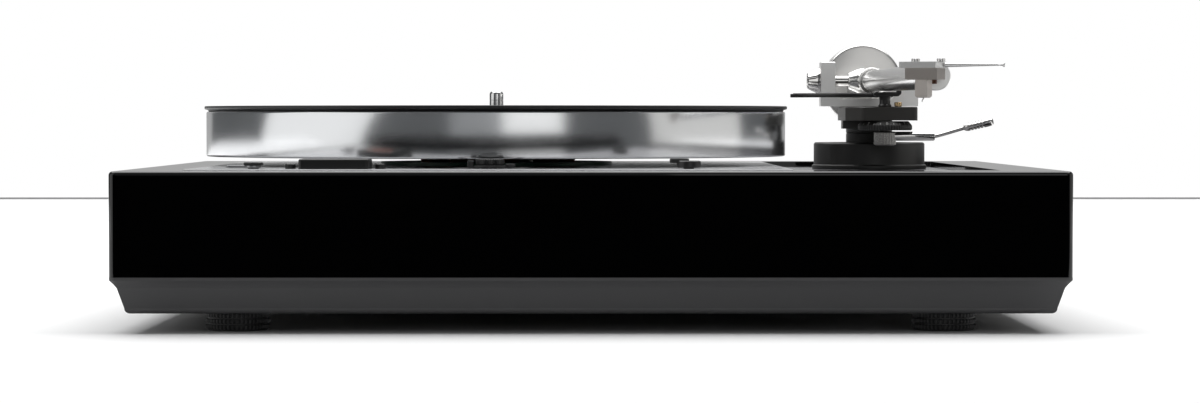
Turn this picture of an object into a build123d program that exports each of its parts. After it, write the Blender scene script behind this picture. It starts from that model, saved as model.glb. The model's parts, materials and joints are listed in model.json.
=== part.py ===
from build123d import *
import math
import os

# Record player, all sizes in millimetres.  The origin is on the floor under the middle of
# the plinth, +X is to the right, +Y to the back and +Z up.

os.makedirs("parts", exist_ok=True)

# ---------------------------------------------------------------- driving dimensions

plinth_width = 444.5
plinth_depth = 400.0
deck_height = 75.0
skirt_height = 17.0
foot_height = 9.1
foot_radius = 15.15
foot_x = 166.0
foot_y = 165.0
plinth_wall = 18.0
deck_thickness = 12.0
corner_radius = 3.5
deck_edge_radius = 1.8

opening_width = 385.0
opening_depth = 334.0
chassis_gap = 1.0
plate_thickness = 4.0
plate_proud = 0.5
armboard_width = 96.0
armboard_recess = 3.5
armboard_thickness = 6.0
board_gap = 0.5
frame_thickness = 6.0

platter_x = -49.2
platter_y = 12.0
platter_radius = 150.0
platter_rise = 4.4
platter_height = 23.0
mat_radius = 151.0
mat_thickness = 2.8
pin_radius = 3.575
pin_height = 8.0
shaft_radius = 5.0

arm_x = 151.0
arm_y = 90.0
wand_height = 119.7
wand_length = 214.8
wand_turn = 3.87
headshell_turn = 23.0
headshell_length = 28.0
base_radius = 30.0
base_height = 14.5
column_radius = 12.5
block_bottom = 98.3
block_thickness = 7.3
lift_radius = 48.0
weight_radius = 21.8
weight_length = 22.0
weight_y = 145.0

running_gap = 0.03
turning_gap = 0.05
screw_gap = 0.05
sweep_gap = 0.4

# ---------------------------------------------------------------- heights and edges

skirt_top = foot_height + skirt_height
deck_underside = deck_height - deck_thickness
inner_width = plinth_width - 2 * plinth_wall
inner_depth = plinth_depth - 2 * plinth_wall
chassis_width = opening_width - 2 * chassis_gap
chassis_depth = opening_depth - 2 * chassis_gap
chassis_left = -chassis_width / 2
chassis_right = chassis_width / 2
plate_top = deck_height + plate_proud
plate_bottom = plate_top - plate_thickness
armboard_top = plate_top - armboard_recess
armboard_bottom = armboard_top - armboard_thickness
armboard_left = chassis_right - armboard_width
plate_right = armboard_left - board_gap
frame_top = armboard_bottom
frame_bottom = frame_top - frame_thickness
platter_bottom = plate_top + platter_rise
platter_top = platter_bottom + platter_height
mat_top = platter_top + mat_thickness
platter_centre = (platter_x, platter_y)
arm_pivot = (arm_x, arm_y)
block_top = block_bottom + block_thickness
base_top = armboard_top + base_height

# ---------------------------------------------------------------- plinth


def side_view(x, y):
    """An upright drawing plane through a vertical axis, local x to the right, local y up."""
    return Plane(origin=(x, y, 0), x_dir=(1, 0, 0), z_dir=(0, -1, 0))


recess_x = 100.0
recess_z = 47.0
recess_width = 112.0
recess_height = 30.0
recess_depth = 12.0
recess_back_width = 100.0
recess_back_height = 22.0
base_screw_radius = 1.95
base_screw_inset = 13.75
base_screw_x = plinth_width / 2 - base_screw_inset
base_screw_y = plinth_depth / 2 - base_screw_inset
base_screw_spots = [(x * base_screw_x, y) for x in (-1, 1) for y in (-110.0, 0.0, 110.0)]
base_screw_spots += [(x, y * base_screw_y) for x in (-110.0, 20.0) for y in (-1, 1)]
base_screw_reach = 12.0

with BuildPart() as plinth_shell:
    with BuildSketch(Plane.XY.offset(skirt_top)):
        Rectangle(plinth_width, plinth_depth)
    extrude(amount=deck_height - skirt_top)
    fillet(plinth_shell.edges().filter_by(Axis.Z), corner_radius)
    fillet(plinth_shell.faces().sort_by(Axis.Z)[-1].edges(), deck_edge_radius)
    with BuildSketch(Plane.XY.offset(skirt_top)):
        Rectangle(inner_width, inner_depth)
    extrude(amount=deck_underside - skirt_top, mode=Mode.SUBTRACT)
    with BuildSketch(Plane.XY.offset(deck_underside)):
        RectangleRounded(opening_width, opening_depth, 2.0)
    extrude(amount=deck_thickness, mode=Mode.SUBTRACT)
    with BuildSketch(Plane.XZ.offset(-plinth_depth / 2)):
        with Locations((recess_x, recess_z)):
            RectangleRounded(recess_width, recess_height, 3.0)
    extrude(amount=recess_depth, mode=Mode.SUBTRACT)
    with BuildSketch(Plane.XZ.offset(-plinth_depth / 2)):
        with Locations((recess_x, recess_z)):
            Rectangle(recess_back_width, recess_back_height)
    extrude(amount=plinth_wall + 1, mode=Mode.SUBTRACT)
    with BuildSketch(Plane.XY.offset(skirt_top)):
        with Locations(*base_screw_spots):
            Circle(base_screw_radius + screw_gap)
    extrude(amount=base_screw_reach + 1, mode=Mode.SUBTRACT)
plinth_shell.part.label = "plinth_shell"
export_step(plinth_shell.part, "parts/plinth_shell.step")

skirt_band = 1.4
skirt_step = 3.5
skirt_foot_inset = 6.6
skirt_round = 2.6
tray_wall = 22.0
tray_floor = 5.0
screw_head_radius = 3.8
screw_head_height = 3.0
screw_head_sink = 3.0
foot_boss_radius = 10.0
foot_boss_height = 11.0
stud_radius = 4.0
stud_length = 13.0
taper_height = skirt_height - skirt_band - skirt_step - skirt_round
taper_degrees = math.degrees(math.atan((skirt_foot_inset - skirt_step) / taper_height))

with BuildPart() as base_panel:
    with BuildSketch(Plane.XY.offset(skirt_top - skirt_band)):
        RectangleRounded(plinth_width, plinth_depth, corner_radius)
    extrude(amount=skirt_band)
    with BuildSketch(Plane.XY.offset(skirt_top - skirt_band)):
        RectangleRounded(plinth_width, plinth_depth, corner_radius)
    extrude(amount=-skirt_step, taper=45)
    with BuildSketch(Plane.XY.offset(skirt_top - skirt_band - skirt_step)):
        Rectangle(plinth_width - 2 * skirt_step, plinth_depth - 2 * skirt_step)
    extrude(amount=-taper_height, taper=taper_degrees)
    with BuildSketch(Plane.XY.offset(foot_height + skirt_round)):
        Rectangle(plinth_width - 2 * skirt_foot_inset, plinth_depth - 2 * skirt_foot_inset)
    extrude(amount=-skirt_round)
    fillet(base_panel.faces().sort_by(Axis.Z)[0].edges(), skirt_round - 0.1)
    with BuildSketch(Plane.XY.offset(foot_height + tray_floor)):
        Rectangle(plinth_width - 2 * tray_wall, plinth_depth - 2 * tray_wall)
    extrude(amount=skirt_height, mode=Mode.SUBTRACT)
    with BuildSketch(Plane.XY.offset(foot_height)):
        with GridLocations(2 * foot_x, 2 * foot_y, 2, 2):
            Circle(foot_boss_radius)
    extrude(amount=foot_boss_height + tray_floor)
    with BuildSketch(Plane.XY.offset(foot_height)):
        with GridLocations(2 * foot_x, 2 * foot_y, 2, 2):
            Circle(stud_radius + turning_gap)
    extrude(amount=skirt_height, mode=Mode.SUBTRACT)
    with BuildSketch(Plane.XY.offset(foot_height)):
        with Locations(*base_screw_spots):
            Circle(screw_head_radius + screw_gap)
    extrude(amount=screw_head_sink + screw_head_height, mode=Mode.SUBTRACT)
    with BuildSketch(Plane.XY.offset(foot_height)):
        with Locations(*base_screw_spots):
            Circle(base_screw_radius + screw_gap)
    extrude(amount=skirt_height, mode=Mode.SUBTRACT)
base_panel.part.label = "base_panel"
export_step(base_panel.part, "parts/base_panel.step")

with BuildPart() as base_screws:
    with BuildSketch(Plane.XY.offset(foot_height + screw_head_sink)):
        with Locations(*base_screw_spots):
            Circle(screw_head_radius)
    extrude(amount=screw_head_height)
    with BuildSketch(Plane.XY.offset(foot_height + screw_head_sink + screw_head_height)):
        with Locations(*base_screw_spots):
            Circle(base_screw_radius)
    extrude(amount=skirt_top + base_screw_reach - foot_height - screw_head_sink - screw_head_height)
base_screws.part.label = "base_screws"
export_step(base_screws.part, "parts/base_screws.step")

# ---------------------------------------------------------------- levelling feet

rib_count = 3
rib_pitch = 2.3
rib_depth = 0.6
foot_chamfer = 1.2


def foot_outline():
    """Half the section of a foot: a chamfered disc with grooves between its knurled bands."""
    points = [(0, 0), (foot_radius - foot_chamfer, 0), (foot_radius, foot_chamfer)]
    for rib in range(rib_count):
        groove = foot_chamfer + 0.5 + rib * rib_pitch
        points.append((foot_radius, groove))
        points.append((foot_radius - rib_depth, groove + 0.3))
        points.append((foot_radius - rib_depth, groove + 0.6))
        points.append((foot_radius, groove + 0.9))
    points.append((foot_radius, foot_height - rib_depth))
    points.append((foot_radius - rib_depth, foot_height))
    points.append((stud_radius, foot_height))
    points.append((stud_radius, foot_height + stud_length))
    points.append((0, foot_height + stud_length))
    return points


with BuildPart() as foot_front_left:
    with BuildSketch(side_view(-foot_x, -foot_y)):
        with BuildLine():
            Polyline(*foot_outline(), close=True)
        make_face()
    revolve(axis=Axis((-foot_x, -foot_y, 0), (0, 0, 1)))
foot_front_left.part.label = "foot_front_left"
export_step(foot_front_left.part, "parts/foot_front_left.step")

with BuildPart() as foot_front_right:
    with BuildSketch(side_view(foot_x, -foot_y)):
        with BuildLine():
            Polyline(*foot_outline(), close=True)
        make_face()
    revolve(axis=Axis((foot_x, -foot_y, 0), (0, 0, 1)))
foot_front_right.part.label = "foot_front_right"
export_step(foot_front_right.part, "parts/foot_front_right.step")

with BuildPart() as foot_rear_left:
    with BuildSketch(side_view(-foot_x, foot_y)):
        with BuildLine():
            Polyline(*foot_outline(), close=True)
        make_face()
    revolve(axis=Axis((-foot_x, foot_y, 0), (0, 0, 1)))
foot_rear_left.part.label = "foot_rear_left"
export_step(foot_rear_left.part, "parts/foot_rear_left.step")

with BuildPart() as foot_rear_right:
    with BuildSketch(side_view(foot_x, foot_y)):
        with BuildLine():
            Polyline(*foot_outline(), close=True)
        make_face()
    revolve(axis=Axis((foot_x, foot_y, 0), (0, 0, 1)))
foot_rear_right.part.label = "foot_rear_right"
export_step(foot_rear_right.part, "parts/foot_rear_right.step")

# ---------------------------------------------------------------- chassis and its suspension

isolator_x = 180.0
isolator_y = 140.0
isolator_radius = 9.0
isolator_height = 8.0
rail_width = 36.0
rail_height = 8.0
rail_depth = inner_depth
isolator_bore = 3.0
rail_top = frame_bottom - isolator_height
rail_bottom = rail_top - rail_height
boss_radius = 6.0
boss_spots = [(-178.0, -156.0), (-178.0, 156.0), (80.0, -156.0), (80.0, 156.0), (-178.0, 0.0)]
board_screw_spots = [(104.0, -156.0), (183.0, -156.0), (104.0, 156.0), (183.0, 156.0)]
chassis_screw_radius = 1.95
motor_opening_radius = 62.0
arm_opening_radius = 18.3

control_y = -150.0
start_x = -160.0
speed_x = -48.0
speed_y = -147.5
stop_x = 46.4
lever_shaft_radius = 2.5
speed_tube_radius = 3.9
pitch_shaft_radius = 2.5
strobe_x = -121.0
strobe_y = -152.0
strobe_width = 33.6
strobe_depth = 22.0
strobe_height = 4.8
strobe_screw_offset = 21.3
strobe_screw_spots = [(strobe_x + side * strobe_screw_offset, strobe_y) for side in (-1, 1)]
strobe_screw_radius = 1.45

with BuildPart() as support_rails:
    with BuildSketch(Plane.XY.offset(rail_bottom)):
        with GridLocations(inner_width - rail_width, 0, 2, 1):
            Rectangle(rail_width, rail_depth)
    extrude(amount=rail_height)
support_rails.part.label = "support_rails"
export_step(support_rails.part, "parts/support_rails.step")

with BuildPart() as chassis_isolators:
    with BuildSketch(Plane.XY.offset(rail_top)):
        with GridLocations(2 * isolator_x, 2 * isolator_y, 2, 2):
            Circle(isolator_radius)
            Circle(isolator_bore, mode=Mode.SUBTRACT)
    extrude(amount=isolator_height)
chassis_isolators.part.label = "chassis_isolators"
export_step(chassis_isolators.part, "parts/chassis_isolators.step")

with BuildPart() as chassis_frame:
    with BuildSketch(Plane.XY.offset(frame_bottom)):
        RectangleRounded(chassis_width - 2, chassis_depth - 2, 3.0)
        with Locations(platter_centre):
            Circle(motor_opening_radius, mode=Mode.SUBTRACT)
        with Locations(arm_pivot):
            Circle(arm_opening_radius, mode=Mode.SUBTRACT)
        with Locations((150.0, -30.0)):
            RectangleRounded(60.0, 120.0, 6.0, mode=Mode.SUBTRACT)
        with Locations((start_x, control_y), (stop_x, control_y)):
            Circle(lever_shaft_radius + 0.5, mode=Mode.SUBTRACT)
        with Locations((speed_x, speed_y)):
            Circle(speed_tube_radius + 0.5, mode=Mode.SUBTRACT)
    extrude(amount=frame_thickness)
    with BuildSketch(Plane.XY.offset(frame_top)):
        with Locations(*boss_spots):
            Circle(boss_radius)
    extrude(amount=plate_bottom - frame_top)
    with BuildSketch(Plane.XY.offset(frame_bottom)):
        with Locations(*boss_spots, *board_screw_spots):
            Circle(chassis_screw_radius + screw_gap)
    extrude(amount=plate_top - frame_bottom, mode=Mode.SUBTRACT)
chassis_frame.part.label = "chassis_frame"
export_step(chassis_frame.part, "parts/chassis_frame.step")

bearing_body_radius = 12.0
bearing_flange_radius = 24.0
bearing_flange_height = 2.5
bearing_screw_circle = 18.5
bearing_screw_radius = 1.95

with BuildPart() as top_plate:
    with BuildSketch(Plane.XY.offset(plate_bottom)):
        with Locations(((chassis_left + plate_right) / 2, 0)):
            Rectangle(plate_right - chassis_left, chassis_depth)
        with Locations(platter_centre):
            Circle(bearing_body_radius + screw_gap, mode=Mode.SUBTRACT)
            with PolarLocations(bearing_screw_circle, 3):
                Circle(bearing_screw_radius + screw_gap, mode=Mode.SUBTRACT)
        with Locations((start_x, control_y), (stop_x, control_y)):
            Circle(lever_shaft_radius + turning_gap, mode=Mode.SUBTRACT)
        with Locations((speed_x, speed_y)):
            Circle(speed_tube_radius + turning_gap, mode=Mode.SUBTRACT)
        with Locations(strobe_screw_spots):
            Circle(strobe_screw_radius + screw_gap, mode=Mode.SUBTRACT)
    extrude(amount=plate_thickness)
    chamfer(top_plate.faces().sort_by(Axis.Z)[-1].outer_wire().edges(), 0.4)
    with BuildSketch(Plane.XY.offset(plate_bottom)):
        with Locations(*boss_spots):
            Circle(chassis_screw_radius + screw_gap)
    extrude(amount=plate_thickness - 1, mode=Mode.SUBTRACT)
top_plate.part.label = "top_plate"
export_step(top_plate.part, "parts/top_plate.step")

with BuildPart() as armboard:
    with BuildSketch(Plane.XY.offset(armboard_bottom)):
        with Locations(((armboard_left + chassis_right) / 2, 0)):
            Rectangle(armboard_width, chassis_depth)
        with Locations(arm_pivot):
            Circle(arm_opening_radius, mode=Mode.SUBTRACT)
    extrude(amount=armboard_thickness)
    chamfer(armboard.faces().sort_by(Axis.Z)[-1].outer_wire().edges(), 0.4)
    with BuildSketch(Plane.XY.offset(armboard_bottom)):
        with Locations(*board_screw_spots):
            Circle(chassis_screw_radius + screw_gap)
    extrude(amount=armboard_thickness - 1.5, mode=Mode.SUBTRACT)
armboard.part.label = "armboard"
export_step(armboard.part, "parts/armboard.step")

# ---------------------------------------------------------------- main bearing, motor, platter

bearing_bottom = 40.0
bearing_floor = 8.0
bush_radius = 8.0
bush_length = 9.0
pad_thickness = 2.0
bearing_top = plate_top + bearing_flange_height
pad_bottom = bearing_bottom + bearing_floor
pad_top = pad_bottom + pad_thickness
board_radius = 60.0
board_hole_radius = 24.5
circuit_thickness = 1.6
coil_count = 9
coil_circle = 34.0
coil_radius = 7.0
coil_height = 6.5
magnet_inner = 26.0
magnet_outer = 42.0
magnet_height = 10.0
rim_wall = 20.0
web_thickness = 6.0
hub_radius = 22.0
hub_lift = 2.1
mat_seat_radius = 4.2

with BuildPart() as bearing_housing:
    with BuildSketch(Plane.XY.offset(bearing_bottom)):
        with Locations(platter_centre):
            Circle(bearing_body_radius)
    extrude(amount=bearing_top - bearing_bottom)
    with BuildSketch(Plane.XY.offset(plate_top)):
        with Locations(platter_centre):
            Circle(bearing_flange_radius)
            with PolarLocations(bearing_screw_circle, 3):
                Circle(bearing_screw_radius + screw_gap, mode=Mode.SUBTRACT)
    extrude(amount=bearing_flange_height)
    with BuildSketch(Plane.XY.offset(pad_bottom)):
        with Locations(platter_centre):
            Circle(bush_radius)
    extrude(amount=bearing_top - pad_bottom, mode=Mode.SUBTRACT)
bearing_housing.part.label = "bearing_housing"
export_step(bearing_housing.part, "parts/bearing_housing.step")

with BuildPart() as bearing_bushes:
    with BuildSketch(Plane.XY.offset(pad_bottom)):
        with Locations(platter_centre):
            Circle(bush_radius)
    extrude(amount=pad_thickness)
    for bush_bottom in (pad_top + 1, bearing_top - bush_length):
        with BuildSketch(Plane.XY.offset(bush_bottom)):
            with Locations(platter_centre):
                Circle(bush_radius)
                Circle(shaft_radius + running_gap, mode=Mode.SUBTRACT)
        extrude(amount=bush_length)
bearing_bushes.part.label = "bearing_bushes"
export_step(bearing_bushes.part, "parts/bearing_bushes.step")

with BuildPart() as motor_stator:
    with BuildSketch(Plane.XY.offset(plate_top)):
        with Locations(platter_centre):
            Circle(board_radius)
            Circle(board_hole_radius, mode=Mode.SUBTRACT)
    extrude(amount=circuit_thickness)
    with BuildSketch(Plane.XY.offset(plate_top + circuit_thickness)):
        with Locations(platter_centre):
            with PolarLocations(coil_circle, coil_count):
                Circle(coil_radius)
                Circle(coil_radius / 3, mode=Mode.SUBTRACT)
    extrude(amount=coil_height)
motor_stator.part.label = "motor_stator"
export_step(motor_stator.part, "parts/motor_stator.step")

with BuildPart() as platter:
    with BuildSketch(side_view(*platter_centre)):
        with BuildLine():
            Polyline(
                (shaft_radius, platter_bottom + hub_lift),
                (hub_radius, platter_bottom + hub_lift),
                (hub_radius, platter_top - web_thickness),
                (platter_radius - rim_wall, platter_top - web_thickness),
                (platter_radius - rim_wall, platter_bottom),
                (platter_radius, platter_bottom),
                (platter_radius, platter_top),
                (shaft_radius, platter_top),
                close=True,
            )
        make_face()
    revolve(axis=Axis((platter_x, platter_y, 0), (0, 0, 1)))
    rim_edges = platter.edges().filter_by(GeomType.CIRCLE).sort_by(SortBy.RADIUS)[-2:]
    fillet(rim_edges, 1.0)
platter.part.label = "platter"
export_step(platter.part, "parts/platter.step")

with BuildPart() as rotor_magnet:
    with BuildSketch(Plane.XY.offset(platter_top - web_thickness - magnet_height)):
        with Locations(platter_centre):
            Circle(magnet_outer)
            Circle(magnet_inner, mode=Mode.SUBTRACT)
    extrude(amount=magnet_height)
rotor_magnet.part.label = "rotor_magnet"
export_step(rotor_magnet.part, "parts/rotor_magnet.step")

with BuildPart() as spindle:
    with BuildSketch(side_view(*platter_centre)):
        with BuildLine():
            Polyline(
                (0, pad_top + turning_gap),
                (shaft_radius, pad_top + turning_gap),
                (shaft_radius, platter_top),
                (mat_seat_radius, platter_top),
                (mat_seat_radius, mat_top),
                (pin_radius, mat_top),
                (pin_radius, mat_top + pin_height - 2.2),
                (pin_radius - 0.9, mat_top + pin_height - 0.9),
                (1.2, mat_top + pin_height),
                (0, mat_top + pin_height),
                close=True,
            )
        make_face()
    revolve(axis=Axis((platter_x, platter_y, 0), (0, 0, 1)))
spindle.part.label = "spindle"
export_step(spindle.part, "parts/spindle.step")

with BuildPart() as platter_mat:
    with BuildSketch(side_view(*platter_centre)):
        with BuildLine():
            Polyline(
                (mat_seat_radius + 0.2, platter_top),
                (mat_radius - 2.2, platter_top),
                (mat_radius - 1.6, platter_top + 0.8),
                (mat_radius, platter_top + 1.2),
                (mat_radius, mat_top - 0.4),
                (mat_radius - 0.4, mat_top),
                (mat_seat_radius + 0.2, mat_top),
                close=True,
            )
        make_face()
    revolve(axis=Axis((platter_x, platter_y, 0), (0, 0, 1)))
platter_mat.part.label = "platter_mat"
export_step(platter_mat.part, "parts/platter_mat.step")

with BuildPart() as chassis_screws:
    with BuildSketch(Plane.XY.offset(frame_bottom - screw_head_height)):
        with Locations(*boss_spots, *board_screw_spots):
            Circle(screw_head_radius)
    extrude(amount=screw_head_height)
    with BuildSketch(Plane.XY.offset(frame_bottom)):
        with Locations(*boss_spots):
            Circle(chassis_screw_radius)
    extrude(amount=plate_top - 1.5 - frame_bottom)
    with BuildSketch(Plane.XY.offset(frame_bottom)):
        with Locations(*board_screw_spots):
            Circle(chassis_screw_radius)
    extrude(amount=armboard_top - 2 - frame_bottom)
    with BuildSketch(Plane.XY.offset(bearing_top)):
        with Locations(platter_centre):
            with PolarLocations(bearing_screw_circle, 3):
                Circle(screw_head_radius)
    extrude(amount=1.8)
    with BuildSketch(Plane.XY.offset(plate_bottom)):
        with Locations(platter_centre):
            with PolarLocations(bearing_screw_circle, 3):
                Circle(bearing_screw_radius)
    extrude(amount=bearing_top - plate_bottom)
chassis_screws.part.label = "chassis_screws"
export_step(chassis_screws.part, "parts/chassis_screws.step")

# ---------------------------------------------------------------- strobe and controls

window_width = 24.0
window_depth = 8.0
window_thickness = 1.0
lamp_height = 1.8
lever_lift = 0.5
switch_top = plate_bottom - 0.1

with BuildPart() as strobe_housing:
    with BuildSketch(Plane.XY.offset(plate_top)):
        with Locations((strobe_x, strobe_y)):
            Rectangle(strobe_width, strobe_depth)
    extrude(amount=strobe_height)
    fillet(strobe_housing.edges().filter_by(Axis.Z), 2.0)
    fillet(strobe_housing.faces().sort_by(Axis.Z)[-1].edges(), 1.0)
    with BuildSketch(Plane.XY.offset(plate_top)):
        with Locations((strobe_x, strobe_y + 4)):
            Rectangle(window_width - 2, window_depth - 2)
    extrude(amount=strobe_height, mode=Mode.SUBTRACT)
    with BuildSketch(Plane.XY.offset(plate_top + strobe_height)):
        with Locations((strobe_x, strobe_y + 4)):
            Rectangle(window_width, window_depth)
    extrude(amount=-window_thickness, mode=Mode.SUBTRACT)
strobe_housing.part.label = "strobe_housing"
export_step(strobe_housing.part, "parts/strobe_housing.step")

with BuildPart() as strobe_window:
    with BuildSketch(Plane.XY.offset(plate_top + strobe_height)):
        with Locations((strobe_x, strobe_y + 4)):
            Rectangle(window_width, window_depth)
    extrude(amount=-window_thickness)
strobe_window.part.label = "strobe_window"
export_step(strobe_window.part, "parts/strobe_window.step")

with BuildPart() as strobe_lamp:
    with BuildSketch(Plane.XY.offset(plate_top)):
        with Locations((strobe_x, strobe_y + 4)):
            Rectangle(window_width - 6, window_depth - 4)
    extrude(amount=lamp_height)
strobe_lamp.part.label = "strobe_lamp"
export_step(strobe_lamp.part, "parts/strobe_lamp.step")

with BuildPart() as strobe_screws:
    with BuildSketch(Plane.XY.offset(plate_top)):
        with Locations(strobe_screw_spots):
            Circle(2.5)
    extrude(amount=2.5)
    fillet(strobe_screws.faces().group_by(Axis.Z)[-1].edges(), 0.5)
    with BuildSketch(Plane.XY.offset(plate_bottom - 2)):
        with Locations(strobe_screw_spots):
            Circle(strobe_screw_radius)
    extrude(amount=plate_thickness + 2)
strobe_screws.part.label = "strobe_screws"
export_step(strobe_screws.part, "parts/strobe_screws.step")

with BuildPart() as start_lever:
    with BuildSketch(Plane.XY.offset(plate_bottom - 4)):
        with Locations((start_x, control_y)):
            Circle(lever_shaft_radius)
    extrude(amount=plate_thickness + 4 + lever_lift)
    with BuildSketch(Plane.XY.offset(plate_top + lever_lift)):
        with Locations((start_x, control_y)):
            Circle(4.0)
        with Locations((start_x - 6.5, control_y)):
            Rectangle(13.0, 4.6)
    extrude(amount=1.2)
    with BuildSketch(Plane.XY.offset(plate_top + lever_lift + 1.2)):
        with Locations((start_x, control_y)):
            Circle(4.65)
    extrude(amount=1.5)
    fillet(start_lever.faces().sort_by(Axis.Z)[-1].edges(), 0.5)
start_lever.part.label = "start_lever"
export_step(start_lever.part, "parts/start_lever.step")

with BuildPart() as control_switches:
    with BuildSketch(Plane.XY.offset(frame_top)):
        with Locations((start_x, control_y), (stop_x, control_y)):
            Rectangle(14, 14)
            Circle(lever_shaft_radius + turning_gap, mode=Mode.SUBTRACT)
    extrude(amount=switch_top - frame_top)
    with BuildSketch(Plane.XY.offset(frame_top)):
        with Locations((speed_x, speed_y)):
            Circle(9.0)
            Circle(speed_tube_radius + turning_gap, mode=Mode.SUBTRACT)
    extrude(amount=switch_top - frame_top)
    with BuildSketch(Plane.XY.offset(frame_bottom)):
        with Locations((speed_x, speed_y)):
            Circle(8.0)
    extrude(amount=-7.0)
    with BuildSketch(Plane.XY.offset(frame_bottom)):
        with Locations((speed_x, speed_y)):
            Circle(speed_tube_radius + 0.5)
            Circle(pitch_shaft_radius + 0.2, mode=Mode.SUBTRACT)
    extrude(amount=frame_thickness)
control_switches.part.label = "control_switches"
export_step(control_switches.part, "parts/control_switches.step")

pitch_cap_radius = 6.85
pitch_cap_bottom = plate_top + 1.8
pitch_cap_height = 2.9

with BuildPart() as speed_scale:
    with BuildSketch(Plane.XY.offset(plate_top)):
        with Locations((speed_x, speed_y)):
            Circle(18.0)
            Circle(14.5, mode=Mode.SUBTRACT)
    extrude(amount=0.3)
    with BuildSketch(Plane.XY.offset(plate_top)):
        with Locations((-23.5, control_y)):
            Rectangle(4.3, 1.2)
    extrude(amount=0.4)
speed_scale.part.label = "speed_scale"
export_step(speed_scale.part, "parts/speed_scale.step")

with BuildPart() as speed_lever:
    with BuildSketch(Plane.XY.offset(frame_top + 0.5)):
        with Locations((speed_x, speed_y)):
            Circle(speed_tube_radius)
            Circle(pitch_shaft_radius + turning_gap, mode=Mode.SUBTRACT)
    extrude(amount=plate_top + lever_lift - frame_top - 0.5)
    with BuildSketch(Plane.XY.offset(plate_top + lever_lift)):
        with Locations((speed_x, speed_y)):
            Circle(8.6)
        with Locations((speed_x - 7.4, speed_y)):
            Circle(3.3)
        with Locations((speed_x + 8.0, speed_y)):
            Rectangle(8.0, 5.0)
        with Locations((speed_x, speed_y)):
            Circle(pitch_shaft_radius + turning_gap, mode=Mode.SUBTRACT)
    extrude(amount=1.0)
    with BuildSketch(Plane.XY.offset(plate_top + lever_lift + 1.0)):
        with Locations((speed_x - 9.1, speed_y)):
            Rectangle(3.2, 6.4)
    extrude(amount=2.4)
    with BuildSketch(Plane.XY.offset(plate_top + lever_lift + 1.0)):
        with Locations((speed_x + 9.7, speed_y)):
            Rectangle(4.6, 5.0)
    extrude(amount=0.8)
speed_lever.part.label = "speed_lever"
export_step(speed_lever.part, "parts/speed_lever.step")

with BuildPart() as pitch_knob:
    with BuildSketch(Plane.XY.offset(frame_bottom + 0.5)):
        with Locations((speed_x, speed_y)):
            Circle(pitch_shaft_radius)
    extrude(amount=pitch_cap_bottom - frame_bottom - 0.5)
    with BuildSketch(Plane.XY.offset(pitch_cap_bottom)):
        with Locations((speed_x, speed_y)):
            Circle(pitch_cap_radius)
    extrude(amount=pitch_cap_height)
    fillet(pitch_knob.faces().sort_by(Axis.Z)[-1].edges(), 0.6)
pitch_knob.part.label = "pitch_knob"
export_step(pitch_knob.part, "parts/pitch_knob.step")

with BuildPart() as stop_lever:
    with BuildSketch(Plane.XY.offset(plate_bottom - 4)):
        with Locations((stop_x, control_y)):
            Circle(lever_shaft_radius)
    extrude(amount=plate_thickness + 4 + lever_lift)
    with BuildSketch(Plane.XY.offset(plate_top + lever_lift)):
        with Locations((stop_x, control_y)):
            Circle(5.7)
    extrude(amount=3.4)
    with BuildSketch(Plane.XY.offset(plate_top + lever_lift + 2.2)):
        with Locations((stop_x - 4.5, control_y)):
            SlotCenterToCenter(5.4, 3.8)
    extrude(amount=2.2)
stop_lever.part.label = "stop_lever"
export_step(stop_lever.part, "parts/stop_lever.step")

# ---------------------------------------------------------------- electronics and sockets

control_board_x = -110.0
control_board_y = -80.0
control_board_z = 50.0

with BuildPart() as control_board:
    with BuildSketch(Plane.XY.offset(control_board_z)):
        with Locations((control_board_x, control_board_y)):
            RectangleRounded(90.0, 60.0, 2.0)
    extrude(amount=circuit_thickness)
    with BuildSketch(Plane.XY.offset(control_board_z + circuit_thickness)):
        with Locations((control_board_x - 25, control_board_y), (control_board_x + 10, control_board_y)):
            Rectangle(12, 12)
        with Locations((control_board_x - 5, control_board_y - 15)):
            Rectangle(18, 8)
    extrude(amount=3.0)
    with BuildSketch(Plane.XY.offset(control_board_z + circuit_thickness)):
        with Locations((control_board_x, control_board_y)):
            with GridLocations(80.0, 50.0, 2, 2):
                Circle(3.0)
    extrude(amount=frame_bottom - control_board_z - circuit_thickness)
control_board.part.label = "control_board"
export_step(control_board.part, "parts/control_board.step")

panel_thickness = 2.0
panel_face = plinth_depth / 2 - recess_depth + panel_thickness
socket_length = 8.0
socket_radius = 4.15
socket_body_radius = 5.0
phono_offsets = (-34.0, -14.0)
ground_offset = 8.0
inlet_offset = 34.0
ground_radius = 2.0
inlet_size = 11.0
panel_clearance = 0.25

with BuildPart() as connector_plate:
    with BuildSketch(Plane.XZ.offset(-panel_face)):
        with Locations((recess_x, recess_z)):
            RectangleRounded(recess_width - 2 * panel_clearance, recess_height - 2 * panel_clearance, 2.8)
        with Locations(*[(recess_x + offset, recess_z) for offset in phono_offsets]):
            Circle(socket_body_radius - 1, mode=Mode.SUBTRACT)
        with Locations((recess_x + ground_offset, recess_z)):
            Circle(ground_radius + screw_gap, mode=Mode.SUBTRACT)
        with Locations((recess_x + inlet_offset, recess_z)):
            Rectangle(inlet_size, inlet_size, mode=Mode.SUBTRACT)
    extrude(amount=panel_thickness)
connector_plate.part.label = "connector_plate"
export_step(connector_plate.part, "parts/connector_plate.step")

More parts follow.
